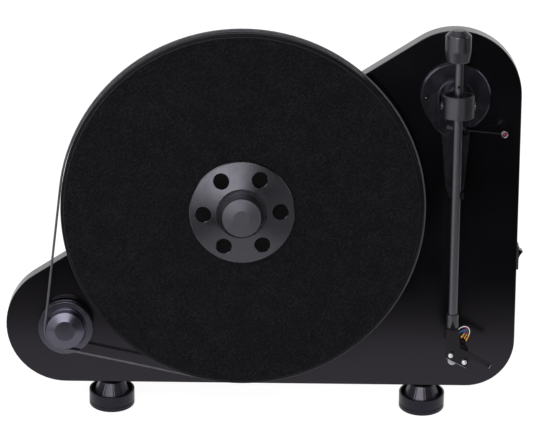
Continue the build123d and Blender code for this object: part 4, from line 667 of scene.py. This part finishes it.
# %% Drills and countersinks
HOLES = 6
DRILL_DEPTH = 12
CLAMP_SLOPE = 4 / 22.5
RIM_HEIGHT = 3.52
RIM_CUT = 0.6
SINK_DEPTH = 2.0
SINK_TIP = HOLE_RADIUS - 0.02
drills = bmesh.new()
sinks = bmesh.new()
along_out = turned_to(OUT)
for i in range(HOLES):
    angle = math.radians(FIRST_HOLE + 360 / HOLES * i)
    middle = spot(HOLE_CIRCLE * math.cos(angle), HOLE_CIRCLE * math.sin(angle), CLAMP_BACK + 3)
    bmesh.ops.create_cone(drills, cap_ends=True, segments=64, radius1=HOLE_RADIUS * MM,
                          radius2=HOLE_RADIUS * MM, depth=DRILL_DEPTH * MM,
                          matrix=Matrix.Translation(middle) @ along_out)
    spoke = ACROSS * math.cos(angle) + CLIMB * math.sin(angle)
    square = (OUT + spoke * CLAMP_SLOPE).normalized()
    rim = spot(0, 0, CLAMP_BACK + RIM_HEIGHT) + spoke * HOLE_CIRCLE * MM
    rim += square * (SINK_DEPTH / 2 - RIM_CUT) * MM
    bmesh.ops.create_cone(sinks, cap_ends=True, segments=64, radius1=SINK_TIP * MM,
                          radius2=(SINK_TIP + SINK_DEPTH) * MM, depth=SINK_DEPTH * MM,
                          matrix=Matrix.Translation(rim) @ turned_to(square))
print(HOLES, "drills and countersinks")


# %% Cutting and the knob
def cut(mesh, tools):
    """A bmesh with the volume of another one cut away."""
    datas = [bpy.data.meshes.new("blank"), bpy.data.meshes.new("drill")]
    objects = []
    for source, data in zip((mesh, tools), datas):
        source.to_mesh(data)
        source.free()
        objects.append(bpy.data.objects.new(data.name, data))
        bpy.context.scene.collection.objects.link(objects[-1])
    blank, drill = objects
    boolean = blank.modifiers.new("holes", "BOOLEAN")
    boolean.object = drill
    boolean.operation = "DIFFERENCE"
    boolean.solver = "EXACT"
    result = bmesh.new()
    result.from_object(blank, bpy.context.evaluated_depsgraph_get())
    for spare in objects:
        bpy.data.objects.remove(spare)
    return result


clamp = cut(cut(clamp, drills), sinks)
piece(clamp, "clamp_disc", "clamp", "dark_anodised", clamp_finish, "record_clamp")

knob = turned(HOME, OUT, [
    (3.63, 28.4), (12.0, 28.4), (12.0, 31.5), (16.06, 31.5), (16.06, 45.5), (6.65, 47.0), (0, 47.0),
    (0, 37.8), (3.63, 37.8),
][::-1], steps=144, edge=0.25)
piece(knob, "clamp_knob_turned", "clamp", "dark_anodised", knob_finish, "clamp_knob")

# %% [markdown]
# A black rubber pad lies in the recess of the clamp's back, where it presses on the label.
# It shows through the six holes, and its near black colour and almost glossless surface are
# painted shade: they make the holes as dark as the shade inside them.

# %% Clamp pad
pad = turned(spot(0, 0, CLAMP_BACK), OUT, [(12.3, 0.15), (39.7, 0.15), (39.7, 1.45), (12.3, 1.45)])
piece(pad, "clamp_pad", "clamp", "black_rubber", hole_shade_rubber)

# %% [markdown]
# ## Pulley
# The motor's pulley has a groove between two flanges and, in front of them, a plain step
# for the belt, which ends in a chamfer and a flat. A narrow gap parts the step from the
# flange, and shows as a dark ring.

# %% Pulley
pulley = turned(spot(*PULLEY_PLACE, 0), OUT, [
    (1.55, 3.0), (22.65, 3.0), (22.65, 5.0), (21.5, 5.0), (21.5, 7.6), (22.65, 7.6), (22.65, 11.6),
    (17.3, 11.6), (17.3, 10.2), (15.85, 10.2), (15.85, 19.3), (8.5, 21.0), (0, 21.0), (0, 11.0),
    (1.55, 11.0),
][::-1], steps=144, edge=0.3)
piece(pulley, "pulley_turned", "drive_pulley", "dark_anodised", pulley_finish, "pulley")

# %% [markdown]
# ## Feet
# Each foot is a shallow cup with a groove round it, and a cone with ten wide facets inside.
# The facets are nearly flat, so that each one mirrors one part of the room, and narrow
# grooves part them. The cone is spun round, and its points are then drawn in: by the
# height of an arc over its chord for the facets, and by a narrow valley for the grooves.

# %% Sections of the feet
FLUTES = 10
FLUTE_STEPS = 20
HALF_FLUTE = math.pi / FLUTES
FLATNESS = 0.85
FACET_TURN = math.radians(9)
GROOVE_DEPTH = 0.7
GROOVE_SHARE = 0.16
BORE_LIMIT = 5
CONE_SECTION = [
    (3.05, 3.6), (16.4, 3.6), (16.4, 9.4), (16.1, 10.4), (11.0, 20.6), (10.4, 21.9), (10.0, 22.3),
    (8.1, 22.3), (8.1, 21.0), (3.05, 21.0),
]
CUP_SECTION = [
    (3.05, 1.4), (0, 1.4), (0, 0), (18.5, 0), (19.1, 0.6), (19.1, 3.8), (18.6, 3.8), (18.6, 4.4),
    (19.1, 4.4), (19.1, 13.9), (17.7, 13.9), (17.7, 3.6), (3.05, 3.6),
]
UP = Vector((0, 0, 1))
print("one facet is", round(math.degrees(2 * HALF_FLUTE)), "degrees wide")

# %% Cups and faceted cones
for place in ("left", "right", "rear"):
    low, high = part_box(f"foot_{place}_cup")
    foot = Vector(((low.x + high.x) / 2, (low.y + high.y) / 2, 0))
    cup = turned(foot, UP, CUP_SECTION, steps=120, edge=0.18)
    piece(cup, f"{place}_cup_turned", f"{place}_foot", "black_plastic", cup_black, f"foot_{place}_cup")

    cone = turned(foot, UP, CONE_SECTION, steps=FLUTES * FLUTE_STEPS, edge=0)
    for vertex in cone.verts:
        outward = Vector((vertex.co.x - foot.x, vertex.co.y - foot.y, 0))
        if outward.length > BORE_LIMIT * MM:
            along_rim = math.atan2(outward.y, outward.x) + FACET_TURN
            # From -1 to 1 between one groove and the next
            across_flute = along_rim / math.tau * FLUTES % 1 * 2 - 1
            flat = outward.length * (1 - math.cos(HALF_FLUTE) / math.cos(across_flute * HALF_FLUTE))
            groove = max(0, (abs(across_flute) - 1) / GROOVE_SHARE + 1) ** 1.5 * GROOVE_DEPTH * MM
            vertex.co -= outward.normalized() * (FLATNESS * flat + groove)
    piece(cone, f"{place}_cone_fluted", f"{place}_foot", "gloss_black", cone_black, f"foot_{place}_cone")

# %% [markdown]
# ## Arm base
# The arm stands on a chamfered disc and a smaller lobe at its lower left. A collar with
# straight sides rises round the bearing, and a tongue runs down from it beside the tube.
# Their edges are broken by a third of a millimetre, which draws the thin lines of light.
# The well for the bearing, the hole for the lift's stem and the lever's slot are cut.

# %% Prisms, posts and arcs
ARM = 175.0
BASE_V = 93.6
BEARING_V = 96.8
LIFT_V = 76.0
LOBE = (172.0, 78.6)


def prism(outline, push):
    """A straight block: a face over (u, v, n) points, extruded by a push in millimetres."""
    block = bmesh.new()
    face = block.faces.new([block.verts.new(spot(*point)) for point in outline])
    pushed = bmesh.ops.extrude_face_region(block, geom=[face])["geom"]
    far_points = [v for v in pushed if isinstance(v, bmesh.types.BMVert)]
    bmesh.ops.translate(block, verts=far_points, vec=push * MM)
    bmesh.ops.recalc_face_normals(block, faces=block.faces)
    return block


def post(u, v, floor, radius):
    """A round cutter that stands out of the board from a floor."""
    block = bmesh.new()
    bmesh.ops.create_cone(block, cap_ends=True, segments=96, radius1=radius * MM, radius2=radius * MM,
                          depth=DRILL_DEPTH * MM,
                          matrix=Matrix.Translation(spot(u, v, floor + DRILL_DEPTH / 2)) @ along_out)
    return block


def arc(middle, radius, first, last, steps=16):
    """Points along an arc of the board's plane, between two angles in degrees."""
    turns = [math.radians(first + (last - first) * i / steps) for i in range(steps + 1)]
    return [(middle[0] + radius * math.cos(a), middle[1] + radius * math.sin(a)) for a in turns]


def open_up(mesh):
    """Cut what turns or slides in the base out of one of its pieces."""
    mesh = cut(mesh, post(ARM, BASE_V, 1.8, 13.5))
    mesh = cut(mesh, post(ARM, BEARING_V, -1, 8.7))
    mesh = cut(mesh, post(ARM, LIFT_V, 0.3, 2.3))
    slot = prism([(179.4, 62.5, 1), (194.5, 62.5, 1), (194.5, 69.5, 1), (179.4, 69.5, 1)], OUT * 9)
    return cut(mesh, slot)


print("the arm turns at", [ARM, BEARING_V], "mm from the platter's axis")

# %% Arm base
base_disc = turned(spot(ARM, BASE_V, 0), OUT, [
    (5, 0.1), (29.3, 0.1), (29.3, 2.5), (28.2, 3.6), (5, 3.6),
], steps=144)
base_lobe = turned(spot(*LOBE, 0), OUT, [
    (0, 0.1), (18.6, 0.1), (18.6, 2.5), (17.5, 3.58), (0, 3.58),
], steps=144)
collar_line = arc((ARM, BASE_V), 14.9, 0, 180, 40) + arc(LOBE, 16.9, -125, -16)
collar = prism([(*point, 3) for point in collar_line], OUT * 3.6)
soften(collar, 0.35)
tongue = prism([(u, v, 0.1) for u, v in (
    (162.6, 80), (168.4, 18.2), (171.0, 12.0), (172.2, 11.6), (179.2, 11.6), (180.4, 12.2),
    (183.7, 18.2), (188.6, 80),
)], OUT * 5.9)
soften(tongue, 0.3)
for name, mesh in (("disc", base_disc), ("lobe", base_lobe), ("collar", collar), ("tongue", tongue)):
    piece(open_up(mesh), f"base_{name}", "chassis", "dark_anodised", base_finish, "arm_base")

# %% [markdown]
# ## Screw pin and stub hole
# A bright pin stands in the socket of the base's black screw, and the hole in the arm's
# stub is filled with a dark lock screw. Both are small turned pieces in the CAD's holes.

# %% Small round details
BASE_SCREW_U = ARM - 24.6
SOCKET_RIM = 5.2
STUB_HOLE_V = 113.2
STUB_TOP = 48.65
pin = turned(spot(BASE_SCREW_U, BASE_V, SOCKET_RIM), OUT, [
    (0, -1.4), (0.55, -1.4), (0.55, 0.05), (0.3, 0.2), (0, 0.25),
], steps=32, edge=0)
piece(pin, "base_screw_socket", "chassis", "steel", satin_nickel)
lock_screw = turned(spot(ARM, STUB_HOLE_V, STUB_TOP), OUT, [
    (0, -1.9), (1.25, -1.9), (1.25, -0.25), (0, -0.45),
], steps=32, edge=0)
piece(lock_screw, "stub_hole_floor", "arm", "dark_anodised", clip_black)

# %% [markdown]
# ## Counterweight
# The weight is turned with soft edges, and its bore is a little off its middle. The bore
# is cut after the turning, because it has its own axis.

# %% Counterweight
ARM_HEIGHT = 45.0
WEIGHT_LOW = 133.6
WEIGHT_ASIDE = 1.2
BORE_RADIUS = 3.7
BORE_LENGTH = 46
weight = turned(spot(ARM - WEIGHT_ASIDE, WEIGHT_LOW, ARM_HEIGHT), CLIMB, [
    (0, 0), (9.3, 0), (10.7, 9.4), (10.7, 22.05), (5.7, 26.4), (0, 26.4),
], steps=144, edge=0)
soften(weight, 0.9, segments=4)
bore = bmesh.new()
bmesh.ops.create_cone(bore, cap_ends=True, segments=72, radius1=BORE_RADIUS * MM,
                      radius2=BORE_RADIUS * MM, depth=BORE_LENGTH * MM,
                      matrix=Matrix.Translation(spot(ARM, WEIGHT_LOW, ARM_HEIGHT)) @ turned_to(CLIMB))
weight = cut(weight, bore)
piece(weight, "weight_turned", "balance_weight", "dark_anodised", fittings, "counterweight")

# %% [markdown]
# ## Headshell
# The headshell is a short sleeve over the tube's end, with a V cut in its front, and a thin
# plate that turns 27 degrees to follow the record's grooves. A narrower black neck under the
# sleeve is painted shade, for the dark gap between the sleeve's end and the plate. The plate
# has its own two directions: x along its front edge and y back towards the tube. A thin bar
# of bright metal along its front edge, and a short one on the lip of the finger lift, are
# painted highlights: they draw the lines of light that these edges catch.

# %% Sleeve
TURN = math.radians(26.9)
SHELL = (179.8, -118.7)
SHELL_TOP = 45.5
SLEEVE_LOW = -93.2
SLEEVE_RADIUS = 5.05
# The narrower black neck below the sleeve is painted shade: it stands for the dark gap between the
# sleeve's end and the plate
neck = turned(spot(ARM, SLEEVE_LOW, ARM_HEIGHT), CLIMB, [
    (0, 0), (4.6, 0), (4.6, 2.1), (4.3, 2.1), (4.3, 10.2), (3.92, 10.2), (3.92, 4.1), (0, 4.1),
], steps=96, edge=0)
piece(neck, "headshell_neck", "arm", "dark_anodised", clip_black, "headshell")
sleeve = turned(spot(ARM, SLEEVE_LOW, ARM_HEIGHT), CLIMB, [
    (4.32, 2.1), (4.75, 2.1), (5.0, 2.5), (SLEEVE_RADIUS, 3.1), (SLEEVE_RADIUS, 13.0), (4.85, 13.2),
    (3.92, 13.2), (3.92, 10.3), (4.32, 10.3),
], steps=96, edge=0)
notch = prism([(ARM + u, SLEEVE_LOW + v, SHELL_TOP) for u, v in ((0, 8.6), (-2.5, 1), (2.5, 1))], OUT * 7)
sleeve = cut(sleeve, notch)
piece(sleeve, "headshell_sleeve", "arm", "dark_anodised", fittings, "headshell")

# %% Plate with two slots
PLATE = 2
SCREW_X = 6.35
SLOT_RADIUS = 1.35
SLOT_LOW = -0.65
SLOT_HIGH = 2.85


def on_shell(x, y):
    """The board's u and v for a point on the turned plate."""
    return (SHELL[0] + x * math.cos(TURN) + y * math.sin(TURN),
            SHELL[1] - x * math.sin(TURN) + y * math.cos(TURN))


outline = [
    (ARM - SLEEVE_RADIUS, SLEEVE_LOW), on_shell(-9.15, -4.1), on_shell(10.1, -4.1),
    on_shell(10.1, 9.0), on_shell(-2.2, 9.0), (ARM + SLEEVE_RADIUS, SLEEVE_LOW),
]
plate = prism([(*point, SHELL_TOP - PLATE) for point in outline], OUT * PLATE)
slots = bmesh.new()
for x in (-SCREW_X, SCREW_X):
    rim = [(x + SLOT_RADIUS * math.cos(a),
            (SLOT_HIGH if math.sin(a) > 0 else SLOT_LOW) + SLOT_RADIUS * math.sin(a))
           for a in (math.radians(5 + 10 * i) for i in range(36))]
    slot = prism([(*on_shell(*point), SHELL_TOP - 2 * PLATE) for point in rim], OUT * 3 * PLATE)
    slot_mesh = bpy.data.meshes.new("slot")
    slot.to_mesh(slot_mesh)
    slots.from_mesh(slot_mesh)
plate = cut(plate, slots)
soften(plate, 0.22, segments=2)
piece(plate, "headshell_plate", "arm", "dark_anodised", shell_black, "headshell")

# %% Finger lift and painted edge highlights
FINGER_LOW = 4.9
LIP_HEIGHT = 48.25
EDGE_RADIUS = 0.3
EDGE_LENGTH = 18.6
profile = [(10.0, 44.4), (27.0, 44.4), (27.0, 48.4), (26.1, 48.4), (25.7, 45.5), (10.0, 45.5)]
towards_tube = ACROSS * math.sin(TURN) + CLIMB * math.cos(TURN)
finger = prism([(*on_shell(x, FINGER_LOW), n) for x, n in profile], towards_tube * 4.1)
soften(finger, 0.25, segments=3)
piece(finger, "finger_lift", "arm", "dark_anodised", shell_black, "headshell")

# The bright bars along the plate's front edge and on the lip are painted highlights
edge_line = ACROSS * math.cos(TURN) - CLIMB * math.sin(TURN)
edge_middle = spot(*on_shell(0.4, -3.88), SHELL_TOP - 0.24)
bar = bmesh.new()
bmesh.ops.create_cone(bar, cap_ends=True, segments=20, radius1=EDGE_RADIUS * MM,
                      radius2=EDGE_RADIUS * MM, depth=EDGE_LENGTH * MM,
                      matrix=Matrix.Translation(edge_middle) @ turned_to(edge_line))
piece(bar, "plate_edge_highlight", "arm", "dark_anodised", edge_highlight_metal, "headshell")
lip = turned(spot(*on_shell(26.55, 5.3), LIP_HEIGHT), towards_tube, [
    (0, 0), (EDGE_RADIUS, 0), (EDGE_RADIUS, 3.3), (0, 3.3),
], steps=20, edge=0)
piece(lip, "finger_lip_highlight", "arm", "dark_anodised", edge_highlight_metal, "headshell")

# %% [markdown]
# ## Cartridge screws and leads
# Two round-headed screws hold the cartridge. Four thin leads join it to the tube: white
# and blue for the left channel, red and green for the right. They loop out from behind
# the plate and down to the gilded clips on the cartridge's pins. A black heel carries
# the pins.

# %% Cartridge screws
for name, x in (("left", -SCREW_X), ("right", SCREW_X)):
    screw = turned(spot(*on_shell(x, 0), SHELL_TOP), OUT, [
        (0, -5), (1.25, -5), (1.25, 0), (2.15, 0), (2.15, 0.9), (1.9, 1.5), (1.35, 1.95), (0.7, 2.15),
        (0, 2.2),
    ], steps=48, edge=0)
    piece(screw, f"shell_screw_{name}", "arm", "steel", satin_nickel, "cartridge_screws")

# %% Leads and clips
CLIP_START = 14.9
CLIP_END = 20.1
LEAD_RADIUS = 0.42
LEADS = {
    # name: clip x, clip depth, depth at the sleeve, depth in the loop, loop points from the sleeve, reach
    "blue": (-4.9, 3.8, 0.9, 2.3, [(0.4, 0), (2.4, -5.6), (8.0, -2.6), (11.2, -1.2)], 2.6),
    "green": (-3.5, 7.2, 2.3, 4.9, [(0.4, 0), (2.4, -6.4), (8.6, -3.8), (12.2, -2.2)], 2.6),
    "white": (-0.2, 3.8, 0.9, 4.1, [(2.7, 0), (3.4, -2.6), (8.8, 0.9), (13.4, 0.3)], 3.4),
    "red": (-1.7, 7.2, 2.3, 7.0, [(2.7, 0), (3.4, -3.2), (7.8, -0.6), (12.2, -1.5)], 2.9),
}
back = SHELL_TOP - PLATE
for name, (x, clip_depth, first_depth, loop_depth, route, reach) in LEADS.items():
    depths = (first_depth, first_depth, loop_depth, loop_depth)
    points = [(ARM + u, SLEEVE_LOW + v, back - depth) for (u, v), depth in zip(route, depths)]
    points.append((*on_shell(x, CLIP_END + reach), back - clip_depth))
    points.append((*on_shell(x, CLIP_END - 0.3), back - clip_depth))
    line = bpy.data.curves.new(f"lead_{name}", "CURVE")
    line.dimensions = "3D"
    line.bevel_depth = LEAD_RADIUS * MM
    line.bevel_resolution = 3
    line.resolution_u = 8
    spline = line.splines.new("NURBS")
    spline.points.add(len(points) - 1)
    for point, place in zip(spline.points, points):
        point.co = (*spot(*place), 1)
    spline.order_u = 3
    spline.use_endpoint_u = True
    line.materials.append(insulation[name])
    lead = bpy.data.objects.new(f"lead_{name}", line)
    bpy.context.scene.collection.objects.link(lead)
    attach(lead, "arm")
    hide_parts("cartridge_leads")
    clip = turned(spot(*on_shell(x, CLIP_START), back - clip_depth), towards_tube, [
        (0, -2), (0.3, -2), (0.3, 0), (0.8, 0), (0.85, 0.3), (0.85, 2.0), (0.72, 2.3), (0.72, 2.8),
        (0.85, 3.1), (0.85, 5.0), (0.6, 5.2), (0, 5.2),
    ], steps=32, edge=0)
    piece(clip, f"clip_{name}", "arm", "socket_brass", gilding, "lead_clips")
print(len(LEADS), "leads and their clips")

# %% Heel behind the pins
HEEL_BACK = 32.4
heel_corners = ((-5.6, 12.4), (0.5, 12.4), (0.5, 14.8), (-5.6, 14.8))
heel = prism([(*on_shell(x, y), HEEL_BACK) for x, y in heel_corners], OUT * 10.2)
soften(heel, 0.3)
piece(heel, "cartridge_heel", "arm", "gloss_black", clip_black)

# %% [markdown]
# ## Lift lever
# A thin steel rod turns in the base and ends in a plated ring with a dark red button in it.

# %% Lever
PIVOT = (184.0, 66.0, 3.4)
RISE = math.radians(21.4)
rod_line = ACROSS * math.cos(RISE) + OUT * math.sin(RISE)
KNOB_REACH = 33.8
knob_middle = spot(*PIVOT) + rod_line * KNOB_REACH * MM
hub = turned(spot(*PIVOT), CLIMB, [
    (0, -6.3), (1, -6.3), (1, -2.5), (2, -2.5), (2, 2.5), (1, 2.5), (1, 6.3), (0, 6.3),
], steps=48, edge=0.15)
piece(hub, "lever_hub", "cue_lever", "steel", oxide, "lift_lever")
rod = turned(spot(*PIVOT), rod_line, [(0, 0), (0.75, 0), (0.75, 6), (0.6, 32), (0, 32)], steps=32, edge=0)
piece(rod, "lever_rod", "cue_lever", "steel", dull_steel, "lift_lever")
ring = turned(knob_middle, OUT, [(0, -1.5), (2.85, -1.5), (2.85, 1.5), (2.05, 1.5), (2.05, 1.0), (0, 1.0)],
              steps=64, edge=0.2)
piece(ring, "lever_ring", "cue_lever", "steel", nickel, "lift_lever")
button = turned(knob_middle, OUT, [(0, 0.95), (2.0, 0.95), (2.0, 1.15), (1.3, 1.38), (0, 1.45)],
                steps=48, edge=0)
piece(button, "lever_button", "cue_lever", "steel", button_red, "lift_lever")
